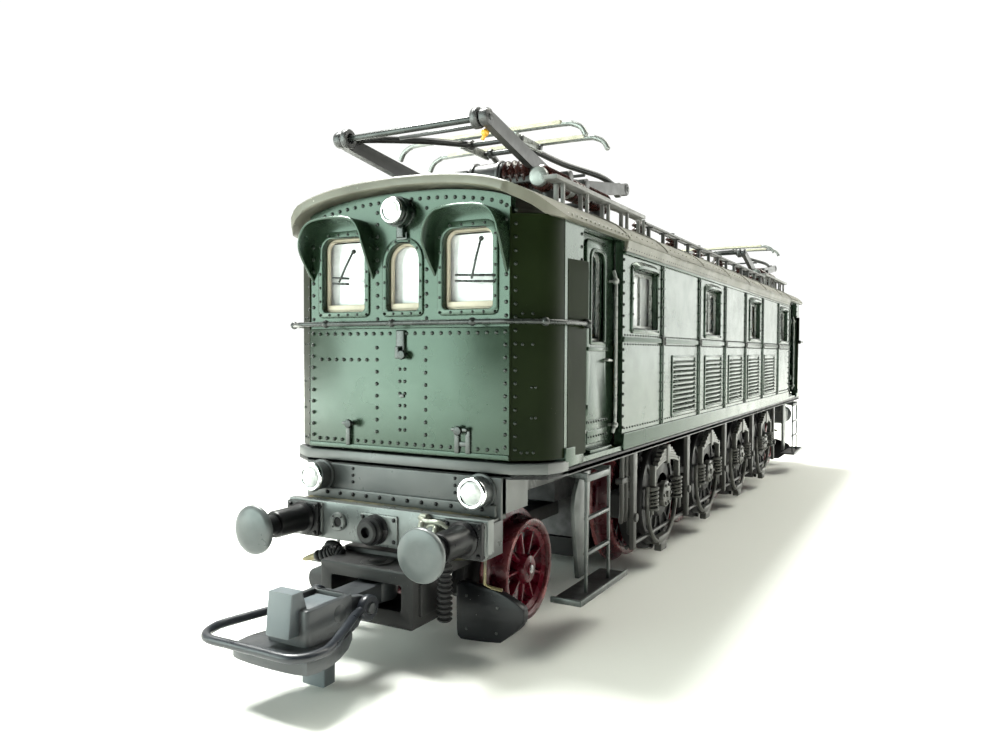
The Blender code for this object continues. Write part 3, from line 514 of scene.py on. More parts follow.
TYRE = mottled("tyre_red_steel", (0.040, 0.002, 0.006), (0.080, 0.004, 0.012), 0.28, 2.0, 0.15,
               grain=0.3, depth=0.008, edges=(0.30, 0.10, 0.10))
CASING_RIBS = mottled("spring_grey", (0.018, 0.019, 0.018), (0.040, 0.042, 0.038), 0.36, 1.5, 0.2,
                      grain=0.3, depth=0.012, edges=(0.12, 0.12, 0.11), Specular_IOR_Level=0.3)
SIDE_METAL = mottled("brake_grey", (0.010, 0.011, 0.011), (0.022, 0.023, 0.022), 0.38, 1.8, 0.1,
                     grain=0.3, depth=0.012, edges=(0.07, 0.07, 0.066), Specular_IOR_Level=0.3)
UPPER_METAL = mottled("upper_arm_metal", (0.009, 0.010, 0.011), (0.018, 0.019, 0.020), 0.34, 2.0, 0.15,
                      grain=0.3, depth=0.008, edges=(0.06, 0.06, 0.06))


def make_pane():
    """Window plastic, glossy and about half opaque, so it looks as burnt out as in the photograph: its milky
    white is painted glare.
    """
    finish = Finish("window_pane", 0.04, Specular_IOR_Level=1.0, Coat_Weight=1.0, Coat_Roughness=0.02)
    glare_opacity = finish.spread(finish.noise(2.2, 4.0), 0.42, 0.62)
    # Near-white colour under the part opacity: painted glare.
    finish.colour(finish.ramp(finish.noise(3.0, 3.0),
                              [(0.3, (0.86, 0.89, 0.90)), (0.7, (0.94, 0.95, 0.95))]))
    finish.links.new(glare_opacity, finish.shader.inputs["Alpha"])
    finish.roughness(finish.spread(finish.noise(1.5), 0.03, 0.09))
    return finish.material


def make_lens():
    """Lamp glass: milky, glossy and lightly frosted."""
    finish = Finish("lamp_lens", 0.10, Specular_IOR_Level=0.8, Coat_Weight=1.0, Coat_Roughness=0.03,
                    Transmission_Weight=0.35)
    finish.colour(finish.ramp(finish.noise(0.7, 3.0),
                              [(0.3, (0.66, 0.68, 0.66)), (0.7, (0.92, 0.93, 0.90))]))
    finish.roughness(finish.spread(finish.noise(0.5), 0.06, 0.18))
    finish.bump(finish.noise(0.35, 2.0), 0.02, 0.4)
    return finish.material


PANE = make_pane()
LENS = make_lens()


# ---------------------------------------------------------------- body
FRONT_Y = 81.64
WALL_X = 16.47
DOOR_X = 15.2
NICHE = (60.3, 72.4)
CREASE_X = 12.76
PILLARS = (44.9, 25.9, 8.5)
WINDOW_YS = (52.15, 17.4)
CORNER_NORMAL = Vector((0.534, -0.845, 0)).normalized()
ROOF_LINE = ((0, 48.85), (6, 48.6), (11.3, 47.75), (15.0, 46.2), (16.4, 45.15), (17.0, 44.5),
             (17.15, 44.2))


def on_line(line, x):
    """The height of a line of (x, z) points at x."""
    x = abs(x)
    for (x0, z0), (x1, z1) in zip(line, line[1:]):
        if x <= x1:
            return z0 + (z1 - z0) * (x - x0) / (x1 - x0)
    return line[-1][1]


ROOF_CURVE = [(p.x, p.y) for p in smooth_path([(x, z, 0) for x, z in ROOF_LINE], 6)]


def roof_z(x):
    return on_line(ROOF_CURVE, x)


def corner_plan():
    """The outline of the slanted corner panel and its round edge, from the crease to the side."""
    points = [Vector((CREASE_X, -FRONT_Y)), Vector((15.0, -80.25))]
    a, b, c = Vector((15.0, -80.25)), Vector((16.35, -79.35)), Vector((WALL_X, -76.4))
    for step in range(1, 11):
        t = step / 10
        points.append(a * (1 - t) ** 2 + b * 2 * t * (1 - t) + c * t * t)
    return [(p.x, p.y) for p in points]


def window_outlines():
    """The three front window openings as (outline, riveted frame's outline)."""
    made = []
    for side in SIDES:
        low, high = span(side, 5.0, 10.85)
        made.append((rounded_rect(low, 35.15, high, 43.2, 0.45, 5, 1.2),
                     rounded_rect(low - 0.62, 34.5, high + 0.62, 43.95, 0.7, 6, 1.6)))
    made.append((rounded_rect(-2.05, 35.15, 2.05, 42.2, 0.4, 8, 1.95),
                 rounded_rect(-2.6, 34.5, 2.6, 42.8, 0.6, 8, 2.5)))
    return made


def front_wall(shapes):
    top = [(x, roof_z(x) - 1.35) for x in [CREASE_X - 2 * CREASE_X * i / 24 for i in range(25)]]
    outline = [(-CREASE_X, 20.2), (CREASE_X, 20.2)] + top
    holes = [opening for opening, _ in window_outlines()]
    shapes.plate(outline, 80.64, FRONT_Y, "front", holes)
    # The lower sheet overlaps the upper one just under the handrail.
    lower = rounded_rect(-CREASE_X + 0.02, 20.22, CREASE_X - 0.02, 33.35, 0.05, 2)
    shapes.plate(lower, FRONT_Y - 0.1, FRONT_Y + 0.14, "front", edge=0.08)
    shapes.box((-CREASE_X, 20.2, FRONT_Y), (CREASE_X, 20.75, FRONT_Y + 0.3), 0.1, "front")
    for opening, rim in window_outlines():
        shapes.plate(rim, FRONT_Y - 0.05, FRONT_Y + 0.2, "front", [opening], edge=0.09)
    # The slanted corners and their welts take the second slot's darker green, which is painted shade.
    shapes.paint = 1
    for side in SIDES:
        plan = [(side * x, y) for x, y in corner_plan()]
        inner = [(side * 15.47, -76.4), (side * 15.4, -78.2), (side * 14.6, -79.4),
                 (side * (CREASE_X - 0.4), -80.7)]
        shapes.plate(plan + inner, 20.2, 44.3, "up")
        # A low welt over the crease, where the front sheet is lapped on the corner's.
        shapes.tube([(side * (CREASE_X + 0.01), -FRONT_Y - 0.02, z) for z in (20.25, 32, 44.9)], 0.1, 6)
    shapes.paint = 0


def visor_path(side):
    """The line where a window's visor meets the wall, with its depth at each point."""
    half = [(-4.05, 38.6, 0.05), (-4.2, 40.3, 1.25), (-4.25, 42.0, 2.2), (-3.95, 43.4, 2.4),
            (-3.2, 44.45, 2.4), (-2.0, 44.9, 2.4), (0.0, 45.02, 2.4)]
    full = half + [(-u, z, d) for u, z, d in reversed(half[:-1])]
    return smooth_path([(side * 8.15 + u, z, d) for u, z, d in full], 5)


def make_visors():
    shapes = Shapes()
    thick = 0.26
    for side in SIDES:
        path = visor_path(side)
        centre = Vector((side * 8.15, 40.5))
        rings = []
        for index, point in enumerate(path):
            before, after = path[max(0, index - 1)], path[min(len(path) - 1, index + 1)]
            tangent = Vector((after.x - before.x, after.y - before.y)).normalized()
            normal = Vector((-tangent.y, tangent.x))
            if normal.dot(Vector((point.x, point.y)) - centre) < 0:
                normal = -normal
            u, v, depth = point.x, point.y, point.z
            spots = ((0, -0.15), (0, depth - 0.08), (0.08, depth), (thick - 0.08, depth),
                     (thick, depth - 0.08), (thick, -0.15))
            rings.append([(u + normal.x * w, -FRONT_Y - out, v + normal.y * w) for w, out in spots])
        shapes.loft(rings)
    piece("window_visors", shapes, GREEN, "chassis", twice=True, sharp=40)


def make_front_rivets(shapes):
    """The rivet rows of the end wall and its slanted corners."""
    out = (0, -1, 0)
    lower_y, upper_y = -FRONT_Y - 0.14, -FRONT_Y
    for x in (12.3, -12.3):
        shapes.rivets((x, upper_y, 34.4), (x, upper_y, 45.1), 1.32, out)
        shapes.rivets((x, lower_y, 21.5), (x, lower_y, 32.8), 1.32, out)
    count = 22
    for index in range(count + 1):
        x = -11.7 + 23.4 * index / count
        shapes.dome((x, upper_y, roof_z(x) - 2.15), out)
    for x, top in ((-3.35, 46.2), (2.95, 46.2)):
        shapes.rivets((x, upper_y, 34.3), (x, upper_y, top - 0.6), 1.27, out)
        shapes.rivets((x, lower_y, 22.25), (x, lower_y, 31.25), 1.28, out)
    for x in (-0.33, 0.33):
        shapes.rivets((x, lower_y, 22.6), (x, lower_y, 29.0), 1.28, out, 0.2)
    shapes.rivets((-11.3, lower_y, 32.75), (11.3, lower_y, 32.75), 1.06, out)
    shapes.rivets((-11.1, lower_y, 29.95), (-4.7, lower_y, 29.95), 1.06, out)
    shapes.rivets((-11.4, lower_y, 21.15), (11.4, lower_y, 21.15), 1.08, out)
    for opening, rim in window_outlines():
        lows = [min(p[i] for p in rim) for i in (0, 1)]
        highs = [max(p[i] for p in rim) for i in (0, 1)]
        y = -FRONT_Y - 0.2
        arched = highs[0] - lows[0] < 6
        left, right = lows[0] + 0.31, highs[0] - 0.31
        bottom, top = lows[1] + 0.33, highs[1] - (0.38 if not arched else 0.3)
        rise = 3.0 if arched else 1.5
        for x in (left, right):
            shapes.rivets((x, y, bottom), (x, y, highs[1] - rise), 1.55, out, 0.16, 0.13)
        shapes.rivets((left, y, bottom), (right, y, bottom), 1.25, out, 0.16, 0.13)
        if arched:
            for angle in (35, 68, 112, 145):
                a = math.radians(angle)
                shapes.dome((2.27 * math.cos(a), y, 40.3 + 2.2 * math.sin(a)), out, 0.16, 0.13)
        else:
            shapes.rivets((left + 1.2, y, top), (right - 1.2, y, top), 1.2, out, 0.16, 0.13)
    for side in SIDES:
        normal = Vector((side * CORNER_NORMAL.x, CORNER_NORMAL.y, 0))
        along = Vector((side * 0.845, 0.534, 0))
        start = Vector((side * CREASE_X, -FRONT_Y, 0))

        def spot(distance, z):
            at = start + along * distance
            return (at.x, at.y, z)

        shapes.rivets(spot(0.5, 21.3), spot(0.5, 44.6), 1.32, normal, 0.19, 0.15)
        for distance in (1.1, 1.7, 2.3):
            shapes.dome(spot(distance, 21.0), normal, 0.16, 0.13)
        for z in (31.6, 34.6):
            for distance in (1.2, 2.2):
                shapes.dome(spot(distance, z), normal, 0.16, 0.13)
        for z in (24.4, 27.4):
            for distance in (2.1, 2.5):
                shapes.dome(spot(distance, z), normal, 0.15, 0.12)


def machine_window(y):
    """The opening of a machine room window whose middle is at y."""
    return rounded_rect(y - 4.75, 33.8, y + 4.75, 41.0, 0.35, 4)


def door_window(sign):
    """The opening of a cab door's window."""
    return rounded_rect(sign * 65.8 - 1.9, 32.1, sign * 65.8 + 1.9, 42.1, 0.3, 5, 1.1)


def side_wall(shapes):
    """The right side: wall with openings, niches with doors, pillars, bands and window frames."""
    low, high = NICHE
    outline = [(-77.0, 19.2), (77.0, 19.2), (77.0, 44.3), (-77.0, 44.3)]
    holes = []
    for sign in SIDES:
        ys = span(sign, low, high)
        holes.append(rounded_rect(ys[0], 19.75, ys[1], 43.95, 0.12, 4, 0.75))
        for y in WINDOW_YS:
            holes.append(machine_window(sign * y))
    shapes.plate(outline, 15.47, WALL_X, "right", holes)
    for sign in SIDES:
        ys = span(sign, low - 0.4, high + 0.4)
        window = door_window(sign)
        back = rounded_rect(ys[0], 19.6, ys[1], 44.1, 0.05, 2)
        shapes.plate(back, 14.3, DOOR_X, "right", [window])
        # The door's leaf, its window rim, its kick plate and its waist rail.
        leaf = rounded_rect(sign * 65.9 - 3.15, 20.6, sign * 65.9 + 3.15, 43.4, 0.2, 5, 0.9)
        shapes.plate(leaf, DOOR_X - 0.05, DOOR_X + 0.28, "right", [window], edge=0.1)
        rim = rounded_rect(sign * 65.8 - 2.3, 31.7, sign * 65.8 + 2.3, 42.5, 0.35, 5, 1.3)
        shapes.plate(rim, DOOR_X, DOOR_X + 0.42, "right", [window], edge=0.1)
        ys = span(sign, 62.9, 68.9)
        shapes.box((ys[0], 31.0, DOOR_X), (ys[1], 31.45, DOOR_X + 0.5), 0.1, "right")
        shapes.box((ys[0], 20.7, DOOR_X), (ys[1], 22.2, DOOR_X + 0.4), 0.1, "right")
        shapes.box((ys[0], 22.9, DOOR_X), (ys[1], 23.3, DOOR_X + 0.4), 0.1, "right")
        shapes.box((ys[0] - 0.3, 19.6, DOOR_X), (ys[1] + 0.3, 20.1, DOOR_X + 0.9), 0.1, "right")
        # A wind shield on the cab side's front post, slightly splayed. It takes the second slot's darker
        # green, which is painted shade.
        shapes.paint = 1
        for top, bottom, reach in ((40.3, 20.25, 0.5), (40.3, 34.2, 0.75)):
            ys = [sign * 76.3, sign * 72.55]
            rings = []
            for z in (bottom, bottom + 0.12, top - 0.12, top):
                cut = 0.1 if z in (bottom, top) else 0.0
                rings.append([(WALL_X - 0.2, ys[0], z), (WALL_X + 0.04, ys[0], z),
                              (WALL_X + reach - cut, ys[1] + sign * 0.12, z),
                              (WALL_X + reach - cut - 0.1, ys[1] + sign * cut, z),
                              (WALL_X - 0.2, ys[1] + sign * cut, z)])
            shapes.loft(rings)
        shapes.paint = 0
        # Hinges of the door on its front edge.
        for z in (24.5, 39.2):
            shapes.drum(0.24, z - 0.6, z + 0.6, "z", (DOOR_X + 0.35, sign * 69.2, 0), 10)
        for y in WINDOW_YS:
            opening = machine_window(sign * y)
            rim = rounded_rect(sign * y - 5.35, 33.2, sign * y + 5.35, 41.6, 0.6, 5)
            shapes.plate(rim, WALL_X - 0.05, WALL_X + 0.2, "right", [opening], edge=0.09)
            # The little hood over the window.
            rings = []
            for step in range(13):
                t = step / 12
                along = sign * y - 5.2 + 10.4 * t
                lift = 0.75 * min(1.0, 5 * min(t, 1 - t) + 0.05) ** 0.5
                drop = 0.5 * (abs(2 * t - 1) ** 4)
                rings.append([(WALL_X - 0.1, along, 41.35 - drop), (WALL_X - 0.1, along, 42.15 - drop),
                              (WALL_X + 0.35 * lift, along, 42.1 - drop),
                              (WALL_X + lift, along, 41.6 - drop), (WALL_X + lift, along, 41.25 - drop),
                              (WALL_X + lift - 0.12, along, 41.25 - drop)])
            shapes.loft(rings)
    for sign in SIDES:
        for y in PILLARS:
            shapes.box((sign * y - 0.6, 21.2, WALL_X - 0.1), (sign * y + 0.6, 42.6, WALL_X + 0.16), 0.07,
                       "right")
            shapes.box((sign * y - 0.22, 21.2, WALL_X), (sign * y + 0.22, 42.6, WALL_X + 0.3), 0.07,
                       "right")
    shapes.box((-60.2, 32.1, WALL_X - 0.1), (60.2, 32.75, WALL_X + 0.2), 0.08, "right")
    shapes.box((-60.2, 42.5, WALL_X - 0.1), (60.2, 42.85, WALL_X + 0.34), 0.08, "right")
    for low_y, high_y in ((-77.0, -72.5), (-60.2, 60.2), (72.5, 77.0)):
        shapes.box((low_y, 19.2, WALL_X - 0.1), (high_y, 21.2, WALL_X + 0.24), 0.1, "right")


def louvre(shapes, low_y, high_y, low_z, high_z, count):
    """A framed bank of slats on the right wall."""
    outline = rounded_rect(low_y, low_z, high_y, high_z, 0.3, 4)
    hole = rounded_rect(low_y + 0.55, low_z + 0.4, high_y - 0.55, high_z - 0.4, 0.15, 3)
    shapes.plate(outline, WALL_X - 0.05, WALL_X + 0.16, "right", [hole], edge=0.07)
    pitch = (high_z - low_z - 1.1) / count
    for index in range(count):
        z = low_z + 0.55 + pitch * index
        a, b = low_y + 0.5, high_y - 0.5
        rings = []
        for y, share in ((a, 0.1), (a + 0.3, 0.8), (a + 0.6, 1.0), (b - 0.6, 1.0), (b - 0.3, 0.8),
                         (b, 0.1)):
            reach = 0.5 * share
            rings.append([(WALL_X - 0.1, y, z), (WALL_X + reach, y, z + 0.02),
                          (WALL_X + reach, y, z + 0.12), (WALL_X + 0.6 * reach, y, z + 0.45 * pitch),
                          (WALL_X + 0.02, y, z + 0.68 * pitch), (WALL_X - 0.1, y, z + 0.68 * pitch)])
        shapes.loft(rings)


def make_side_rivets(shapes):
    out = (1, 0, 0)
    for sign in SIDES:
        for y in PILLARS:
            for offset in (-0.42, 0.42):
                shapes.rivets((WALL_X + 0.16, sign * y + offset, 21.8),
                              (WALL_X + 0.16, sign * y + offset, 42.0),
                              1.3, out, 0.15, 0.14)
            for dz in (-0.35, 0.0, 0.35):
                for dy in (-0.55, 0.0, 0.55):
                    shapes.dome((WALL_X + 0.26, sign * y + dy, 32.4 + dz), out, 0.2, 0.18)
        for edge_y in (60.0, 72.75):
            shapes.rivets((WALL_X, sign * edge_y, 21.9), (WALL_X, sign * edge_y, 43.2), 1.32, out, 0.19,
                          0.16)
        for y in WINDOW_YS:
            for offset in (-5.05, 5.05):
                shapes.rivets((WALL_X + 0.2, sign * y + offset, 33.6),
                              (WALL_X + 0.2, sign * y + offset, 41.2),
                              1.9, out, 0.15, 0.13)
            shapes.rivets((WALL_X + 0.62, sign * y - 2.4, 41.68), (WALL_X + 0.62, sign * y + 2.4, 41.68),
                          1.6,
                          (0.7, 0, 0.7), 0.14, 0.12)
        ys = span(sign, 63.2, 68.6)
        for z in (21.45, 23.1):
            shapes.rivets((DOOR_X + 0.4, ys[0], z), (DOOR_X + 0.4, ys[1], z), 0.75, out, 0.14, 0.12)
        spans = ((45.8, 59.5), (26.8, 44.0), (9.4, 25.0))
        for a, b in spans:
            ys = span(sign, a, b)
            for z in (32.95, 31.85, 21.75):
                shapes.rivets((WALL_X, ys[0], z), (WALL_X, ys[1], z), 0.95, out, 0.13, 0.11)
            shapes.rivets((WALL_X + 0.28, ys[0], 43.3), (WALL_X + 0.28, ys[1], 43.3), 0.95, out, 0.14,
                          0.12)
    for z in (32.95, 31.85, 21.75):
        shapes.rivets((WALL_X, -7.6, z), (WALL_X, 7.6, z), 0.95, out, 0.13, 0.11)


def make_body():
    shapes = Shapes()
    front_wall(shapes)
    side_wall(shapes)
    for sign in SIDES:
        for near, far in ((27.9, 40.4), (10.9, 22.3)):
            louvre(shapes, *span(sign, near, far), 21.8, 30.5, 11)
    louvre(shapes, -5.6, 5.6, 21.8, 30.5, 11)
    piece("body_paintwork", shapes, [GREEN, CORNER_PAINTED_SHADE], "chassis", twice=True,
          replaces=["body_shell"], sharp=30)
    shapes = Shapes()
    make_front_rivets(shapes)
    make_side_rivets(shapes)
    piece("body_rivets", shapes, RIVET_PAINTED_SHADE, "chassis", twice=True, sharp=60)
    make_visors()


def make_roof():
    """The vaulted roof with thick, rounded rims and cross seams."""
    shapes = Shapes()
    plan = [(12.9, 83.3), (14.2, 82.75), (15.4, 81.95), (16.3, 80.95), (16.85, 79.8), (17.1, 78.4),
            (17.15, 77.0)]
    sections = []
    for sign in SIDES:
        rows = [(sign * 83.3, 12.7, 0.34), (sign * 83.22, 12.85, 0.15), (sign * 83.05, 13.4, 0.0)]
        rows += [(sign * y, x, 0.0) for x, y in plan[1:]]
        rows += [(sign * y, 17.15, 0.0) for y in (60.0, 40.0, 20.0)]
        sections += rows if sign < 0 else rows[::-1]
    rings = []
    steps = 28
    for y, half, inset in sections:
        xs = [half * math.sin(math.pi / 2 * (2 * i / steps - 1)) for i in range(steps + 1)]
        outer = [(x, y, roof_z(x) - inset) for x in xs]
        inner = [(x, y, max(roof_z(x) - 1.1 + 0.5 * inset, 44.05)) for x in reversed(xs)]
        inner = [(x * 0.985, y, min(z, roof_z(x) - inset - 0.08)) for x, y, z in inner]
        rings.append(outer + inner)
    shapes.loft(rings)
    for y in (-59.9, -44.9, -25.9, -8.5, 8.5, 25.9, 44.9, 59.9):
        path = [(x, y, roof_z(x) + 0.01) for x in [17.1 * math.sin(math.pi * i / 48) for i in range(-24,
                                                                                                    25)]]
        shapes.tube(path, 0.15, 6, up=(0, 1, 0))
    for side in SIDES:
        # The cornice band that closes the wall's top along the machine room.
        rings = []
        for y in (-59.9, -59.8, 59.8, 59.9):
            grow = 0 if abs(y) > 59.85 else 0.12
            rings.append([(side * 16.2, y, 42.85), (side * (16.62 + grow), y, 42.9),
                          (side * (16.75 + grow), y, 43.5), (side * (16.95 + grow), y, 44.3),
                          (side * 16.2, y, 44.3)])
        shapes.loft(rings)
        for y in (-35.4, -17.2, 0.0, 17.2, 35.4):
            shapes.tube([(side * 16.98, y - 7.2, 44.0), (side * 16.98, y + 7.2, 44.0)], 0.09, 6)
    piece("roof_skin", shapes, ROOF, "chassis", replaces=["roof_shell"], sharp=35)
    shapes = Shapes()
    for side in SIDES:
        for sign in SIDES:
            shapes.rivets((side * 17.02, sign * 60.8, 44.62), (side * 17.02, sign * 76.5, 44.62), 1.2,
                          (side, 0, 0.3), 0.16, 0.12)
        for y in [-58.0 + 2.0 * i for i in range(59)]:
            if min(abs(abs(y) - seam) for seam in (44.9, 25.9, 8.5)) > 1.2:
                shapes.dome((side * 16.62, y, 45.0), (side * 0.8, 0, 0.6), 0.13, 0.1)
        for seam in (-44.9, -25.9, -8.5, 8.5, 25.9, 44.9):
            for x in [1.4 * i for i in range(12)]:
                slope = roof_z(x + 0.1) - roof_z(x)
                for offset in (-0.55, 0.55):
                    shapes.dome((side * x, seam + offset, roof_z(x)), (-side * slope * 10, 0, 1), 0.13,
                                0.1)
    piece("roof_rivets", shapes, ROOF_RIVET, "chassis", sharp=60)


# ---------------------------------------------------------------- underframe and ends
END_PLAN = [(13.0, -81.9), (16.1, -79.95), (16.72, -77.9), (16.72, -76.4)]
LAMP_X, LAMP_Z = 10.15, 17.2
BUFFER_X, BUFFER_Z = 10.05, 13.07
BEAM_TOP, BEAM_BOTTOM, BEAM_Y = 14.95, 11.0, 85.35


def across(points):
    """A right-hand line of (x, y) with its mirror image before it, from left to right."""
    return [(-x, y) for x, y in reversed(points)] + points


def make_underframe():
    shapes = Shapes()
    plan = across(END_PLAN)
    rear = [(-x, -y) for x, y in plan]
    well = rounded_rect(-10.5, -49.4, 14.8, 49.4, 0.8, 4)
    shapes.plate(plan + rear, 18.4, 18.95, "up", [well], edge=0.06)
    for side in SIDES:
        xs = span(side, 15.9, 16.72)
        shapes.box((xs[0], -76.6, 18.42), (xs[1], 76.6, 19.15), 0.1)
    shapes.box((-13.2, -58.0, 16.4), (-11.4, 58.0, 18.6), 0.15)
    for y in range(-54, 55, 6):
        shapes.plate([(y - 0.3, 16.3), (y + 0.3, 16.3), (y + 0.3, 18.4), (y - 0.3, 18.4)], 13.2, 13.75,
                     "left")
    piece("underframe_floor", shapes, BLACK, "chassis", replaces=["underframe"])

    shapes = Shapes()
    # The lip round the end's foot, chamfered along its top and bottom.
    inner = [(12.6, -80.6), (15.2, -79.0), (15.5, -77.4), (15.5, -76.4)]
    shapes.plate(across(END_PLAN) + across(inner)[::-1], 18.4, 19.95, "up", edge=0.22, back=True)
    shapes.box((-12.4, 14.5, 81.6), (12.4, 18.6, 82.65), 0.1, "front")
    # The angle iron along the skirt's foot.
    shapes.box((-11.9, 14.7, 82.5), (11.9, 15.95, 82.98), 0.14, "front")
    shapes.plate(rounded_rect(-12.15, -85.2, 12.15, -82.0, 0.15, 3), 14.1, 14.72, "up", edge=0.05)
    for side in SIDES:
        xs = span(side, 4.4, 6.4)
        shapes.plate([(xs[0], -81.8), (xs[1], -81.8), (xs[1], -55.0), (xs[0], -55.0)], 14.3, 18.5, "up",
                     edge=0.1)
        xs = span(side, 11.75, 12.35)
        shapes.plate([(-82.2, 11.2), (-82.2, 14.5), (-85.0, 14.5), (-85.0, 11.2)], *xs, "right",
                     edge=0.06)
        rib = [(side * 12.4, -82.4), (side * 12.4, -77.0), (side * 11.9, -77.0), (side * 11.9, -82.4)]
        shapes.plate(rib, 15.0, 18.5, "up")
        gusset = [(side * 11.0, -81.8), (side * 11.0, -74.0), (side * 10.2, -74.0), (side * 10.2, -81.8)]
        shapes.plate(gusset, 16.4, 18.5, "up")
        shapes.drum(1.5, -84.35, -82.0, "y", (side * LAMP_X, 0, LAMP_Z), 32, 0.1)
        shapes.drum(1.75, -82.95, -82.5, "y", (side * LAMP_X, 0, LAMP_Z), 32, 0.1)
    piece("end_framing", shapes, FRAME_GREY, "chassis", twice=True, sharp=30)

    shapes = Shapes()
    outline = [(-12.5, BEAM_TOP), (-12.5, 11.7), (-11.9, BEAM_BOTTOM), (11.9, BEAM_BOTTOM),
               (12.5, 11.7), (12.5, BEAM_TOP)]
    shapes.plate(outline, 84.3, BEAM_Y, "front", edge=0.08)
    for side in SIDES:
        # The buffer's backing plate and, right, the wider doubling plate.
        low, high = sorted((side * 12.3, side * (6.4 if side > 0 else 7.7)))
        shapes.plate(rounded_rect(low, 11.15, high, 14.75, 0.15, 3), BEAM_Y - 0.05, BEAM_Y + 0.2, "front",
                     edge=0.06)
    plate = rounded_rect(-2.6, 11.3, 2.1, 14.3, 0.2, 3)
    shapes.plate(plate, BEAM_Y - 0.05, BEAM_Y + 0.24, "front", edge=0.07)
    shapes.ring(0.5, 1.0, -BEAM_Y - 0.35, -BEAM_Y + 0.1, "y", (-5.55, 0, 13.0), 28, 0.1)
    piece("buffer_beam", shapes, BEAM, "chassis", twice=True, sharp=30)

    shapes = Shapes()
    # Worn brass-coloured patches on the shelf are its own thin tread plate.
    shapes.plate(rounded_rect(-11.4, -85.05, 11.4, -83.05, 0.2, 3), 14.68, 14.86, "up", edge=0.05)
    piece("shelf_tread", shapes, TREADPLATE, "chassis", twice=True)

    shapes = Shapes()
    out = (0, -1, 0)
    shapes.rivets((-9.2, -82.98, 15.45), (10.4, -82.98, 15.45), 1.76, out, 0.24, 0.2)
    for x in (7.1, -5.9):
        shapes.rivets((x, -82.65, 16.75), (x, -82.65, 18.2), 0.75, out, 0.2, 0.16)
    for u, v in ((-2.2, 13.9), (-2.2, 11.7), (1.7, 13.9), (1.7, 11.7)):
        shapes.dome((u, -BEAM_Y - 0.24, v), out, 0.24, 0.2)
    for side in SIDES:
        for u in ((7.95, 12.05) if side < 0 else (8.0, 12.05)):
            for v in (11.5, 14.35):
                shapes.dome((side * u, -BEAM_Y - 0.2, v), out, 0.24, 0.2)
    for step in range(4):
        angle = math.radians(45 + 90 * step)
        shapes.dome((-5.55 + 0.78 * math.cos(angle), -BEAM_Y - 0.35, 13.0 + 0.78 * math.sin(angle)), out,
                    0.12, 0.1)
    piece("beam_rivets", shapes, BLACK, "chassis", twice=True, sharp=60)

    shapes = Shapes()
    # The draw hook's rubber housing and the dark socket beside it.
    centre = (-0.55, 0, 12.75)
    shapes.lathe([(0, -84.6), (1.55, -84.6), (1.55, -85.7), (1.3, -85.85), (1.3, -86.25), (1.45, -86.4),
                  (1.45, -86.7), (1.2, -86.85), (1.2, -87.15), (1.0, -87.3), (0.55, -87.3), (0.5, -86.6),
                  (0, -86.6)],
                 "y", centre, 32)
    shapes.drum(0.5, -85.5, -84.9, "y", (-5.55, 0, 13.0), 24, 0.05)
    shapes.tube([(-0.55 - 1.9, -86.0, 12.75), (-0.55 + 1.75, -86.0, 12.75)], 0.14, 8)
    piece("draw_gear", shapes, SATIN, "chassis", twice=True)

    shapes = Shapes()
    # Pale air and heating cocks behind the right buffer.
    for x, z in ((5.7, 14.4), (7.3, 14.0)):
        shapes.drum(0.42, -86.35, -85.2, "y", (x, 0, z), 18, 0.08)
        shapes.drum(0.6, -86.0, -85.75, "y", (x, 0, z), 6, 0.05)
        shapes.tube(smooth_path([(x, -86.1, z), (x + 0.1, -86.7, z - 0.2), (x + 0.15, -86.8, z - 1.0),
                                 (x + 0.1, -86.5, z - 1.9)], 5), 0.3, 12)
    shapes.tube(smooth_path([(5.2, -86.1, 14.7), (6.2, -86.5, 14.5), (7.6, -86.4, 14.5),
                             (8.4, -86.0, 14.0)], 5), 0.22, 10)
    shapes.box((5.2, 14.05, 85.5), (6.0, 15.05, 86.2), 0.12, "front")
    shapes.ring(0.72, 1.02, -86.55, -86.25, "y", (6.9, 0, 13.3), 24, 0.08)
    piece("beam_cocks", shapes, COCK, "chassis", twice=True)


def make_lamps():
    shapes = Shapes()
    shapes.lathe([(0, -81.2), (1.42, -81.2), (1.42, -83.35), (1.3, -83.5), (1.05, -83.5), (0.95, -82.9),
                  (0, -82.9)],
                 "y", (0, 0, 45.3), 40)
    shapes.ring(1.4, 1.58, -83.1, -82.6, "y", (0, 0, 45.3), 40)
    shapes.ring(1.4, 1.56, -82.0, -81.6, "y", (0, 0, 45.3), 40)
    shapes.box((-0.45, 42.7, 81.5), (0.45, 44.2, 82.3), 0.1, "front")
    shapes.plate(rounded_rect(-0.7, 42.5, 0.7, 43.3, 0.2, 4), 81.6, 81.95, "front", edge=0.06)
    piece("headlamp_barrel", shapes, BODY_DARK, "chassis", twice=True)
    shapes = Shapes()
    lamps = [(0, 45.3, 83.9, 1.36, 0.98)] + [(side * LAMP_X, LAMP_Z, 84.75, 1.62, 1.16) for side in SIDES]
    for x, z, front, outer, inner in lamps:
        shapes.lathe([(inner - 0.05, -front + 0.5), (outer - 0.08, -front + 0.5), (outer, -front + 0.4),
                      (outer, -front + 0.12), (outer - 0.12, -front), (inner + 0.08, -front),
                      (inner - 0.05, -front + 0.1)], "y", (x, 0, z), 48, closed=True)
    piece("lamp_rings", shapes, CHROME, "chassis", twice=True, sharp=50)
    shapes = Shapes()
    for x, z, front, outer, inner in lamps:
        bulge = [(0, -front + 0.45), (inner, -front + 0.45), (inner, -front + 0.15)]
        for step in range(1, 8):
            angle = math.radians(90 * step / 8)
            bulge.append((inner * math.cos(angle), -front + 0.15 - 0.3 * math.sin(angle)))
        shapes.lathe(bulge + [(0, -front - 0.15)], "y", (x, 0, z), 40)
    piece("lamp_lenses", shapes, LENS, "chassis", twice=True, sharp=60)


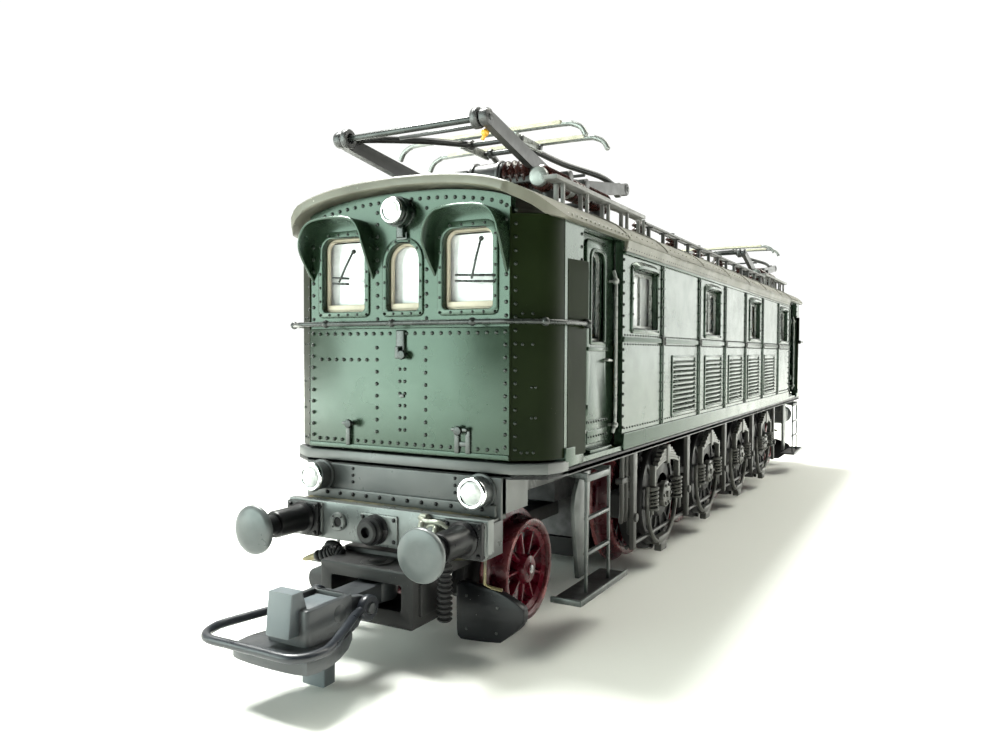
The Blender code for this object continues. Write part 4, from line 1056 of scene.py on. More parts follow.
def make_front_fittings():
    """Handrail, lamp irons, brackets, wipers and window frames of the end wall."""
    shapes = Shapes()
    half = [(17.25, -73.2, 33.8), (17.3, -75.6, 33.8), (17.28, -77.8, 33.8), (17.05, -79.2, 33.8),
            (16.3, -80.5, 33.8), (15.0, -81.6, 33.8), (13.6, -82.55, 33.8), (12.4, -83.0, 33.8)]
    path = half + [(6.0, -83.05, 33.8), (0.0, -83.05, 33.8)]
    path += [(-x, y, z) for x, y, z in reversed(path[:-1])]
    shapes.tube(smooth_path(path, 6), 0.25, 14)
    for x, y in ((17.25, -73.0), (-17.25, -73.0), (16.1, -80.7), (-16.1, -80.7), (-0.4, -83.05),
                 (9.3, -83.05), (-9.3, -83.05)):
        shapes.ball((x, y, 33.8), 0.5 if abs(x) > 17 else 0.44)
    for x in (-9.3, -0.4, 9.3):
        shapes.tube([(x, -81.5, 33.8), (x, -82.8, 33.8)], 0.18, 10)
    for side in SIDES:
        shapes.tube([(side * 16.2, -73.0, 33.8), (side * 17.2, -73.0, 33.8)], 0.2, 10)
        shapes.tube([(side * 15.4, -79.9, 33.8), (side * 16.1, -80.7, 33.8)], 0.18, 10)
    piece("end_handrail", shapes, RAIL_METAL, "chassis", twice=True, sharp=50)

    shapes = Shapes()
    # Black bracket under the rail and the lamp irons.
    shapes.box((-0.65, 30.2, 81.7), (0.45, 33.1, 82.1), 0.12, "front")
    shapes.box((-0.35, 30.1, 82.0), (0.15, 31.4, 82.7), 0.1, "front")
    for x in (-7.1, 6.9, 8.2):
        shapes.box((x - 0.28, 20.6, 81.7), (x + 0.28, 23.2, 82.1), 0.1, "front")
        shapes.box((x - 0.28, 22.9, 82.0), (x + 0.28, 23.25, 82.75), 0.08, "front")
    shapes.box((6.9, 21.3, 81.75), (8.2, 21.8, 82.0), 0.08, "front")
    shapes.box((-0.3, 26.0, 81.6), (0.3, 26.4, 81.95), 0.08, "front")
    piece("lamp_irons", shapes, BODY_DARK, "chassis", twice=True)

    shapes = Shapes()
    for x, z in ((-6.64, 23.0), (7.3, 22.93), (0.45, 30.5)):
        shapes.lathe([(0, -81.6), (0.2, -81.6), (0.2, -82.35), (0.46, -82.4), (0.5, -82.55),
                      (0.42, -82.72), (0, -82.78)],
                     "y", (x, 0, z), 24)
    # The wipers: a thin arm and two bars across the glass.
    shapes.tube([(9.75, -82.2, 42.0), (9.3, -82.35, 40.2), (8.75, -82.3, 38.1)], 0.12, 8)
    shapes.tube([(-6.2, -82.2, 41.6), (-7.1, -82.35, 40.0), (-8.05, -82.3, 38.4)], 0.12, 8)
    for z in (38.45, 37.85):
        shapes.tube([(6.7, -82.0, z + 0.1), (11.1, -82.0, z - 0.1)], 0.13, 8)
        shapes.tube([(-9.2, -82.0, z + 0.45), (-7.0, -82.0, z + 0.3)], 0.13, 8)
    shapes.ball((9.75, -82.1, 42.0), 0.26, 12, 7)
    shapes.ball((-6.2, -82.1, 41.6), 0.26, 12, 7)
    piece("wipers", shapes, RAIL_METAL, "chassis", twice=True, sharp=50)

    shapes = Shapes()
    # Cream inner frames of the three panes, with a sill in front of the glass.
    for opening, _ in window_outlines():
        hole = offset_loop(opening, 0.3)
        shapes.plate(opening, 80.7, 81.05, "front", [hole], edge=0.08)
        lows = [min(p[i] for p in opening) for i in (0, 1)]
        highs = [max(p[i] for p in opening) for i in (0, 1)]
        shapes.box((lows[0] + 0.2, lows[1] + 0.2, 80.8), (highs[0] - 0.2, lows[1] + 0.8, 81.2), 0.1,
                   "front")
    piece("pane_frames", shapes, CREAM, "chassis", twice=True)


def make_side_fittings():
    shapes = Shapes()
    for sign in SIDES:
        for y in (61.5, 71.2):
            # Grab rails beside the door, bowed in at their knobs.
            at = sign * y
            rail = [(15.75, at, 21.4), (16.0, at, 22.6), (16.05, at, 26), (16.05, at, 36),
                    (16.0, at, 39.2), (15.75, at, 40.4)]
            shapes.tube(smooth_path(rail, 5), 0.21, 10)
            for z in (22.3, 39.2):
                shapes.ball((16.02, at, z), 0.4, 14, 8)
                shapes.tube([(15.1, at, z), (16.0, at, z)], 0.17, 8)
        at = sign * 63.7
        shapes.tube([(15.3, at, 30.0), (15.9, at, 30.0), (15.95, at - sign * 1.1, 29.9)], 0.17, 8)
    piece("grab_rails", shapes, PALE_METAL, "chassis", twice=True, sharp=50)

    shapes = Shapes()
    for sign in SIDES:
        # Pale frames in the machine room's windows and the door's window.
        for y in WINDOW_YS:
            outline = rounded_rect(sign * y - 4.7, 33.85, sign * y + 4.7, 40.95, 0.35, 4)
            holes = [rounded_rect(sign * y - 4.3, 34.25, sign * y - 0.15, 40.55, 0.3, 4),
                     rounded_rect(sign * y + 0.15, 34.25, sign * y + 4.3, 40.55, 0.3, 4)]
            shapes.plate(outline, 15.5, 15.85, "right", holes, edge=0.07)
        window = door_window(sign)
        shapes.plate(window, 14.6, 14.95, "right", [offset_loop(window, 0.35)], edge=0.07)
    piece("side_frames", shapes, PALE_METAL, "chassis", twice=True)


def make_buffers():
    """Shank and disc of each buffer; the left one's disc is domed, the right one's nearly flat."""
    for (end, turned), (side, hand) in itertools.product(ENDS, HANDS):
        where, domed = end + "_" + hand, side < 0
        shapes = Shapes()
        x, z = side * BUFFER_X, BUFFER_Z
        shapes.plate(rounded_rect(x - 2.15, z - 1.85, x + 2.15, z + 1.75, 0.2, 4), 85.6, 86.0, "front",
                     edge=0.08)
        shapes.lathe([(0, -85.7), (1.75, -85.7), (1.75, -86.25), (1.5, -86.5), (1.42, -86.9),
                      (1.4, -90.0),
                      (1.3, -90.2), (0, -90.2)], "y", (x, 0, z), 32)
        shapes.lathe([(0, -90.0), (1.02, -90.0), (1.02, -92.5), (0, -92.5)], "y", (x, 0, z), 28)
        for du in (-1.75, 1.75):
            for dv in (-1.45, 1.35):
                shapes.dome((x + du, -86.0, z + dv), (0, -1, 0), 0.26, 0.22)
        piece("buffer_shank_" + where, shapes, BLACK, "chassis", turned=turned,
              replaces=["buffer_" + where])
        shapes = Shapes()
        disc = [(0, -92.2), (1.3, -92.2), (1.55, -92.45), (2.3, -92.6), (2.45, -92.72), (2.46, -92.95)]
        if domed:
            disc += [(2.4, -93.08), (2.0, -93.25), (1.4, -93.38), (0.7, -93.46), (0, -93.49)]
        else:
            disc += [(2.38, -93.1), (2.28, -93.16), (1.2, -93.19), (0, -93.2)]
        shapes.lathe(disc, "y", (x, 0, z), 56)
        piece("buffer_disc_" + where, shapes, DISC, "chassis", turned=turned, sharp=45)


def make_steps():
    """The cab ladders: a bent frame, two rungs and a turned-up foot board."""
    for (end, turned), (side, hand) in itertools.product(ENDS, HANDS):
        where = end + "_" + hand
        shapes = Shapes()
        for y in (-68.9 - 3.25, -68.9 + 3.25):
            cheek = [(14.2, 18.1), (17.05, 18.1), (17.05, 5.3), (16.75, 5.3), (16.72, 17.3), (14.2, 17.7)]
            outline = [(side * x, z) for x, z in cheek]
            shapes.plate(outline, -y - 0.14, -y + 0.14, "front", edge=0.05)
        for z, depth in ((17.05, 0.75), (12.95, 0.4), (9.2, 0.4)):
            xs = span(side, 16.55, 17.08)
            shapes.box((xs[0], -72.1, z), (xs[1], -65.7, z + depth), 0.12)
        piece("ladder_" + where, shapes, LADDER, "chassis", turned=turned,
              replaces=["cab_step_" + where])
        shapes = Shapes()
        xs = span(side, 14.5, 17.95)
        shapes.plate(rounded_rect(xs[0], -75.8, xs[1], -62.0, 0.25, 4), 4.95, 5.25, "up", edge=0.07)
        piece("foot_board_" + where, shapes, SATIN, "chassis", turned=turned)
        shapes = Shapes()
        xs = span(side, 17.72, 17.98)
        shapes.box((xs[0], -75.75, 4.95), (xs[1], -62.05, 5.6), 0.1)
        xs = span(side, 14.5, 17.98)
        shapes.box((xs[0], -75.95, 4.95), (xs[1], -75.6, 5.6), 0.1)
        # The tapered pale plate behind the ladder's front cheek.
        plate = [(-68.2, 17.4), (-65.4, 17.4), (-65.9, 5.6), (-68.6, 5.6), (-70.1, 13.8), (-69.6, 15.3)]
        outline = [(y if side > 0 else -y, z) for y, z in plate]
        shapes.plate(outline, 14.1, 14.6, "right" if side > 0 else "left", edge=0.08)
        piece("step_edges_" + where, shapes, LADDER, "chassis", turned=turned)


# ---------------------------------------------------------------- trucks, couplers and wheels
DRIVER_YS = (-37.95, -12.65, 12.65, 37.95)
DRIVER_Z = 10.43
HANGER_YS = (-50.7, -25.3, 0.0, 25.3, 50.7)


def make_pony():
    for where, turned in ENDS:
        body, node = "pony_" + where, "pony_truck_" + where
        shapes = Shapes()
        arm = rounded_rect(-3.2, -70.0, 3.2, -48.0, 1.5, 5)
        shapes.plate(arm, 8.35, 10.2, "up", edge=0.2)
        shapes.plate(rounded_rect(-6.2, -84.0, 6.2, -66.0, 0.5, 4), 8.4, 10.15, "up", edge=0.18)
        for side in SIDES:
            xs = span(side, 4.6, 6.15)
            cheek = [(-79.0, 8.7), (-80.0, 5.6), (-79.0, 4.95), (-74.2, 4.95), (-73.6, 5.6), (-73.6, 8.7)]
            shapes.plate(cheek, *xs, "right", edge=0.15, back=True)
            cheek = [(-69.4, 8.7), (-69.4, 5.6), (-68.8, 4.95), (-67.6, 4.95), (-66.6, 8.7)]
            shapes.plate(cheek, *xs, "right", edge=0.15, back=True)
        shapes.drum(1.5, 9.6, 14.75, "z", (0, -50, 0), 24, 0.15)
        shapes.tube([(0, -66, 10.3), (0, -56, 10.3)], 0.5, 10)
        for y in (-68.5, -75.0, -81.5):
            shapes.drum(0.75, 10.0, 10.45, "z", (0, y, 0), 6, 0.08)
        # The coupler pocket, open to the front.
        opening = rounded_rect(-4.3, 5.75, 4.3, 8.25, 0.2, 3)
        shapes.plate(rounded_rect(-5.75, 4.05, 5.75, 9.65, 0.35, 4), 83.2, 88.0, "front", [opening],
                     edge=0.16)
        shapes.drum(0.9, 4.3, 9.8, "z", (0, -86, 0), 20, 0.1)
        shapes.ring(0.9, 1.7, 9.55, 9.75, "z", (0, -86, 0), 24, 0.06)
        for side in SIDES:
            low, high = span(side, 5.6, 6.1)
            shapes.box((low, -87.0, 5.2), (high, -84.2, 8.4), 0.12)
        piece("pony_frame_" + where, shapes, SATIN, body, turned=turned, replaces=[node])
        shapes = Shapes()
        outline = [(6.1, 6.6), (6.5, 7.15), (7.2, 7.25), (10.6, 6.9), (12.6, 6.2), (13.75, 5.6),
                   (14.0, 4.9),
                   (13.9, 4.1), (13.2, 3.2), (11.6, 1.9), (10.8, 1.55), (7.2, 1.25), (6.5, 1.4),
                   (6.15, 2.2)]
        smooth = [(p.x, p.y) for p in smooth_path([(x, z, 0) for x, z in outline], 3, looped=True)]
        for side in SIDES:
            guard = [(side * x, z) for x, z in smooth]
            shapes.plate(guard, 79.75, 80.85, "front", edge=0.22, back=True)
        piece("rail_guards_" + where, shapes, GUARD, body, turned=turned, sharp=40)
        shapes = Shapes()
        for side in SIDES:
            for x, z in ((7.4, 5.9), (11.0, 5.2), (7.4, 2.5), (10.9, 2.6)):
                shapes.dome((side * x, -80.85, z), (0, -1, 0), 0.16, 0.12)
        piece("guard_rivets_" + where, shapes, FRAME_GREY, body, turned=turned, sharp=60)


def make_hoses():
    """Ribbed brake hoses that hang beside the coupler pocket and swing with the truck."""
    for where, turned in ENDS:
        body = "pony_" + where
        shapes = Shapes()
        for side in SIDES:
            x = side * 7.35
            base = smooth_path([(side * 5.6, -84.6, 9.2), (side * 6.4, -84.7, 10.2), (x, -84.9, 10.3),
                                (x, -84.9, 9.7)], 4)
            shapes.tube(base, 0.42, 12)
            path = [(x, -84.9, 9.9 - 0.13 * i) for i in range(41)]
            shapes.tube(path, [0.78 if i % 4 < 2 else 0.58 for i in range(41)], 16)
        path = smooth_path([(-5.2, -85.2, 9.5), (-6.0, -85.4, 9.9), (-6.9, -85.6, 9.5),
                            (-8.2, -85.9, 9.1)], 8)
        shapes.tube(path, [0.62 if i % 3 else 0.5 for i in range(len(path))], 14)
        piece("brake_hoses_" + where, shapes, SATIN, body, turned=turned, sharp=40)
        shapes = Shapes()
        shapes.tube([(-8.1, -85.9, 9.15), (-8.9, -86.0, 8.9), (-9.7, -86.1, 8.65)], [0.42, 0.36, 0.2], 14)
        shapes.tube([(9.9, -81.4, 10.4), (9.9, -81.5, 7.6), (10.6, -81.3, 7.3), (11.6, -81.0, 7.1)], 0.18,
                    10)
        shapes.tube([(6.0, -81.4, 9.6), (9.9, -81.4, 10.3)], 0.18, 10)
        piece("hose_ends_" + where, shapes, TREADPLATE, body, turned=turned)


def make_coupler():
    for where, turned in ENDS:
        shapes = Shapes()
        shapes.drum(2.0, 6.05, 7.95, "z", (0, -86, 0), 32, 0.15)
        shapes.plate(rounded_rect(-1.5, -93.6, 1.5, -87.0, 0.2, 3), 6.05, 7.95, "up", edge=0.14)
        # Raised block with a slot on the shank, as the close-coupler has.
        slot = rounded_rect(-1.75, -98.0, 1.75, -93.2, 0.25, 4)
        shapes.plate(rounded_rect(-2.4, -98.8, 2.4, -92.7, 0.4, 4), 4.7, 8.55, "up", [slot], edge=0.18)
        for side in SIDES:
            cheek = [(-93.0, 8.3), (-94.6, 7.2), (-96.5, 5.6), (-93.2, 4.75), (-91.9, 5.2), (-91.0, 6.2),
                     (-91.0, 7.9)]
            xs = span(side, 1.45, 2.35)
            shapes.plate(cheek, *xs, "right", edge=0.15, back=True)
        bell = [(2.3, -92.75), (3.35, -94.5), (4.2, -96.6), (4.65, -98.5), (4.6, -100.0), (4.25, -100.9)]
        left = [(-x, y) for x, y in reversed(bell)]
        front = [(4.0 * math.cos(math.radians(a)),
                  -100.9 - 0.45 * math.sin(math.radians(a))) for a in range(20, 180, 20)]
        outline = bell + front + left
        shapes.plate(outline, 4.05, 5.35, "up", [slot], edge=0.22, back=True)
        shapes.drum(0.5, -3.7, 3.7, "x", (0, -91.5, 7.0), 16, 0.08)
        shapes.drum(0.45, -2.4, 2.4, "x", (0, -94.6, 7.2), 16, 0.08)
        for x in (-2.45, 2.2):
            shapes.drum(0.8, x, x + 0.25, "x", (0, -94.6, 7.2), 20, 0.06)
        piece("coupler_body_" + where, shapes, COUPLER, "coupler_head_" + where,
              turned=turned, replaces=["coupler_shank_" + where], sharp=38)

        shapes = Shapes()
        half = [(3.1, -92.35, 7.0), (3.4, -93.6, 7.0), (4.6, -96.4, 6.85), (6.0, -100.0, 6.62),
                (6.1, -101.4, 6.55),
                (5.6, -102.6, 6.5), (4.4, -103.38, 6.5), (2.0, -103.42, 6.5), (0, -103.42, 6.5)]
        path = half + [(-x, y, z) for x, y, z in reversed(half[:-1])]
        shapes.tube(smooth_path(path, 5), 0.4, 16)
        for side in SIDES:
            low, high = span(side, 2.72, 3.48)
            shapes.ring(0.52, 1.2, low, high, "x", (0, -91.5, 7.0), 28, 0.1)
        piece("coupler_loop_" + where, shapes, LOOP, "bow_" + where, turned=turned,
              replaces=["coupler_bow_" + where], sharp=45)

        shapes = Shapes()
        outline = [(1.1, -1.0), (1.1, 1.0), (-1.6, 1.1), (-2.9, 0.7), (-3.6, 2.9), (-5.0, 2.9),
                   (-5.4, -0.9),
                   (-1.0, -1.2), (-0.9, -6.7), (0.6, -6.7), (0.7, -1.2)]
        world = [(-94.6 + y, 7.2 + z) for y, z in outline]
        shapes.plate(world, -1.4, 1.4, "right", edge=0.22, back=True)
        piece("coupler_tongue_" + where, shapes, HOOK, "hook_" + where, turned=turned,
              replaces=["coupler_hook_" + where], sharp=38)


def tyre_profile(tread, flange, inner, low=7.2, high=10.0):
    """Half of a tyre's closed section as (radius, |x|): flange inside, coned tread outside."""
    root = low + 0.85
    return [(inner, low + 0.1), (inner + 0.15, low), (flange - 0.3, low), (flange - 0.08, low + 0.12),
            (flange, low + 0.35), (flange - 0.12, low + 0.6), (tread + 0.3, root - 0.12),
            (tread + 0.05, root + 0.08),
            (tread, root + 0.3), (tread - 0.06, high - 0.25), (tread - 0.2, high - 0.03),
            (tread - 0.35, high),
            (inner + 0.3, high), (inner + 0.1, high - 0.12), (inner, high - 0.3)]


def on_side(profile, side):
    return [(radius, side * at) for radius, at in profile]


def make_wheels():
    """Each wheelset. The model stands on its flanges, so a flange's radius is its axle's height too."""
    specs = [("driving_wheelset_%d" % (i + 1), "driving_axle_%d" % (i + 1), y, DRIVER_Z, 9.4, DRIVER_Z,
              8.05, 12, 2.2)
             for i, y in enumerate(DRIVER_YS)]
    specs += [("leading_wheelset_" + where, "leading_axle_" + where, y, 6.75, 5.72, 6.75, 4.75, 9, 1.6)
              for where, y in (("front", -71.5), ("rear", 71.5))]
    for node, body, y, z, tread, flange, inner, spokes, hub in specs:
        centre = (0, y, z)
        small = tread < 8
        shapes = Shapes()
        for side in SIDES:
            # Red centre: rim, swelling spokes, hub with a cap.
            rim = [(inner - 0.5, 8.25), (inner + 0.25, 8.1), (inner + 0.25, 9.5), (inner - 0.1, 9.62),
                   (inner - 0.5, 9.3)]
            shapes.lathe(on_side(rim, side), "x", centre, 56, closed=True)
            cap = [(0, 7.3), (hub, 7.3), (hub + 0.12, 8.3), (hub + 0.1, 9.5), (hub - 0.15, 9.9),
                   (hub - 0.6, 10.0),
                   (hub * 0.42, 10.02), (hub * 0.4, 10.15), (0, 10.18)]
            shapes.lathe(on_side(cap, side), "x", centre, 36)
            for step in range(spokes):
                angle = 2 * math.pi * (step + 0.5) / spokes
                direction = Vector((0, math.cos(angle), math.sin(angle)))
                across = Vector((0, -math.sin(angle), math.cos(angle)))
                rings = []
                for share in (0.0, 0.12, 0.35, 0.7, 0.9, 1.0):
                    radius = hub - 0.3 + (inner - hub + 0.15) * share
                    wide = (0.62 if small else 0.72) * (1.0 - 0.38 * share) + 0.30 * max(0.0,
                                                                                         share - 0.85) / 0.15
                    if share == 0.0:
                        wide += 0.2
                    thick = 0.62 - 0.14 * share
                    middle = Vector((side * 8.82, y, z)) + direction * radius
                    ring = []
                    for corner in range(8):
                        a = 2 * math.pi * (corner + 0.5) / 8
                        ring.append(middle + across * (wide * 0.5 * math.cos(a)) * 1.05
                                    + Vector((thick * math.sin(a), 0, 0)))
                    rings.append(ring)
                shapes.loft(rings)
        piece("wheel_centres_" + body, shapes, CRIMSON, body, replaces=[node], sharp=45)
        shapes = Shapes()
        for side in SIDES:
            shapes.lathe(on_side(tyre_profile(tread, flange, inner), side), "x", centre, 72, closed=True)
        piece("tyres_" + body, shapes, TYRE, body, sharp=40)
        shapes = Shapes()
        radius = 1.0 if small else 1.2
        shapes.drum(radius, -7.5, 7.5, "x", centre, 28, 0.05)
        for side in SIDES:
            low, high = span(side, 10.1, 10.2)
            shapes.drum(0.45 if small else 0.6, low, high, "x", centre, 20, 0.03)
        piece("axle_steel_" + body, shapes, STEEL, body)


# ---------------------------------------------------------------- side frames and drive casing
def spring(shapes, x, y, low, high, radius, wire, turns):
    """A coil spring that stands along Z."""
    steps = turns * 12
    path = []
    for step in range(steps + 1):
        angle = 2 * math.pi * step / 12
        path.append((x + radius * math.cos(angle), y + radius * math.sin(angle),
                     low + (high - low) * step / steps))
    shapes.tube(path, wire, 7)


def make_drive_casing():
    shapes = Shapes()
    shapes.plate(rounded_rect(-50.0, 8.6, 50.0, 12.2, 0.5, 4), 11.0, 13.0, "right", edge=0.2)
    for y in DRIVER_YS:
        # The big round gear cover with stepped rings and radial ribs.
        shapes.lathe([(0, 10.65), (8.15, 10.65), (8.2, 10.8), (8.2, 12.5), (8.05, 12.85), (7.45, 12.9),
                      (7.4, 13.5),
                      (7.2, 13.85), (6.6, 13.9), (6.45, 13.62), (3.7, 13.62), (3.4, 13.9), (3.2, 14.4),
                      (3.0, 14.5), (1.5, 14.5), (1.35, 14.3), (0, 14.3)], "x", (0, y, DRIVER_Z), 64)
        for step in range(12):
            angle = 2 * math.pi * (step + 0.5) / 12
            direction = Vector((0, math.cos(angle), math.sin(angle)))
            across = Vector((0, -math.sin(angle), math.cos(angle)))
            foot = Vector((0, y, DRIVER_Z))
            ring = []
            for radius in (3.3, 6.6):
                middle = foot + direction * radius
                ring.append([middle + across * a + Vector((x, 0, 0)) for a, x in
                             ((-0.22, 13.5), (0.22, 13.5), (0.16, 13.92), (-0.16, 13.92))])
            shapes.loft(ring)
        for step in range(8):
            angle = 2 * math.pi * step / 8
            shapes.drum(0.4, 12.7, 13.25, "x",
                        (0, y + 7.8 * math.cos(angle), DRIVER_Z + 7.8 * math.sin(angle)), 6, 0.06)
        shapes.plate([(y - 2.6, 12.0), (y + 2.6, 12.0), (y + 1.9, 18.0), (y - 1.9, 18.0)], 13.5, 14.5,
                     "right", edge=0.12)
    piece("drive_covers", shapes, SATIN, "chassis", replaces=["drive_casing_right"], sharp=36)

    shapes = Shapes()
    for y in DRIVER_YS:
        # Leaf spring, hangers and coil springs stand in front of each cover.
        for leaf in range(5):
            half = 5.6 - 0.85 * leaf
            z = 15.4 + 0.36 * leaf
            rings = []
            for step in range(9):
                t = -1 + step / 4
                drop = 0.9 * t * t * (half / 5.6) ** 2
                rings.append([(14.6, y + half * t, z - drop), (15.4, y + half * t, z - drop),
                              (15.4, y + half * t, z - drop + 0.3), (14.6, y + half * t, z - drop + 0.3)])
            shapes.loft(rings)
        shapes.box((14.5, y - 0.7, 14.9), (15.55, y + 0.7, 17.6), 0.12)
        for side in SIDES:
            at = y + side * 5.7
            shapes.box((14.55, at - 0.35, 12.0), (15.4, at + 0.35, 15.2), 0.1)
            spring(shapes, 14.9, at, 9.3, 12.0, 0.75, 0.2, 5)
            shapes.drum(0.95, 9.0, 9.35, "z", (14.9, at, 0), 18, 0.06)
            shapes.drum(0.95, 11.9, 12.25, "z", (14.9, at, 0), 18, 0.06)
            shapes.tube([(14.9, at, 8.4), (14.9, at, 15.0)], 0.22, 8)
        # Axle box with a round lid low on the cover.
        shapes.drum(1.9, 14.3, 15.3, "x", (0, y, DRIVER_Z), 36, 0.2)
        shapes.drum(0.5, 15.2, 15.6, "x", (0, y, DRIVER_Z), 6, 0.08)
        for step in range(6):
            angle = 2 * math.pi * step / 6
            shapes.drum(0.26, 15.1, 15.5, "x",
                        (0, y + 1.45 * math.cos(angle), DRIVER_Z + 1.45 * math.sin(angle)), 6, 0.05)
        shapes.box((13.8, y - 2.3, 3.3), (14.9, y + 2.3, 4.4), 0.15)
        shapes.box((13.8, y - 1.3, 2.2), (14.9, y + 1.3, 3.4), 0.15)
        for side in SIDES:
            arc = [(14.55, y + side * 6.9 * math.cos(math.radians(a)),
                    DRIVER_Z + 6.9 * math.sin(math.radians(a)))
                   for a in range(-75, 20, 5)]
            shapes.tube(arc, 0.32, 8)
    piece("drive_springs", shapes, CASING_RIBS, "chassis", sharp=38)

    shapes = Shapes()
    # Brake shoes, hangers, pull rod and sand pipes along the right side.
    for y in HANGER_YS:
        for side in SIDES:
            if abs(y) > 50 and side * y > 0:
                continue
            at = y + side * 1.9
            shapes.box((13.2, at - 0.5, 6.5), (14.2, at + 0.5, 11.5), 0.15)
        shapes.plate([(y - 0.5, 5.0), (y + 0.5, 5.0), (y + 0.8, 18.0), (y - 0.8, 18.0)], 14.3, 14.9,
                     "right", edge=0.1)
        shapes.drum(0.6, 14.2, 15.2, "x", (0, y, 9.2), 16, 0.08)
    shapes.tube([(14.0, -51.5, 5.3), (14.0, 51.5, 5.3)], 0.28, 10)
    for y in (-52.6, 52.6):
        for offset in (-0.8, 0.8):
            shapes.tube([(14.0, y + offset, 18.0), (14.0, y + offset, 10.4),
                         (13.6, y * 0.985 + offset, 8.8)], 0.3, 10)
        shapes.box((13.4, y - 1.6, 14.0), (14.4, y + 1.6, 14.7), 0.1)
    piece("right_brake_gear", shapes, SIDE_METAL, "chassis", sharp=40)


def make_side_frame_left():
    shapes = Shapes()
    shapes.tube([(-10.8, -51.4, 4.7), (-10.8, 51.4, 4.7)], 0.4, 10)
    for y in HANGER_YS:
        hanger = [(-y - 0.75, 4.2), (-y + 0.75, 4.2), (-y + 0.6, 18.1), (-y - 0.6, 18.1)]
        shapes.plate(hanger, 10.55, 11.0, "left", edge=0.1, back=True)
        shapes.drum(0.55, -11.25, -10.5, "x", (0, y, 10.4), 14, 0.06)
        for side in SIDES:
            if abs(y) > 50 and side * y > 0:
                continue
            rings = []
            for z in (8.2, 9.4, DRIVER_Z, 11.6, 12.8):
                near = y + side * 0.45
                far = y + side * (2.5 - 0.12 * abs(z - DRIVER_Z) ** 1.5)
                rings.append([(-10.8, near, z), (-8.4, near, z), (-8.4, far, z), (-10.8, far, z)])
            shapes.loft(rings)
    piece("left_brake_gear", shapes, SATIN, "chassis", replaces=["side_frame_left"])


# ---------------------------------------------------------------- pantographs and roof gear
PANTO_Y = -60.5


def insulator(shapes, axis, centre, low, high, radius, pitch=0.95):
    """A ribbed porcelain along an axis."""
    count = max(2, round((high - low) / pitch))
    step = (high - low) / count
    profile = [(0, low)]
    for index in range(count):
        at = low + index * step
        profile += [(radius * 0.62, at + 0.05 * step), (radius * 0.92, at + 0.22 * step),
                    (radius, at + 0.4 * step),
                    (radius * 0.97, at + 0.56 * step), (radius * 0.66, at + 0.8 * step)]
    shapes.lathe(profile + [(radius * 0.6, high), (0, high)], axis, centre, 32)


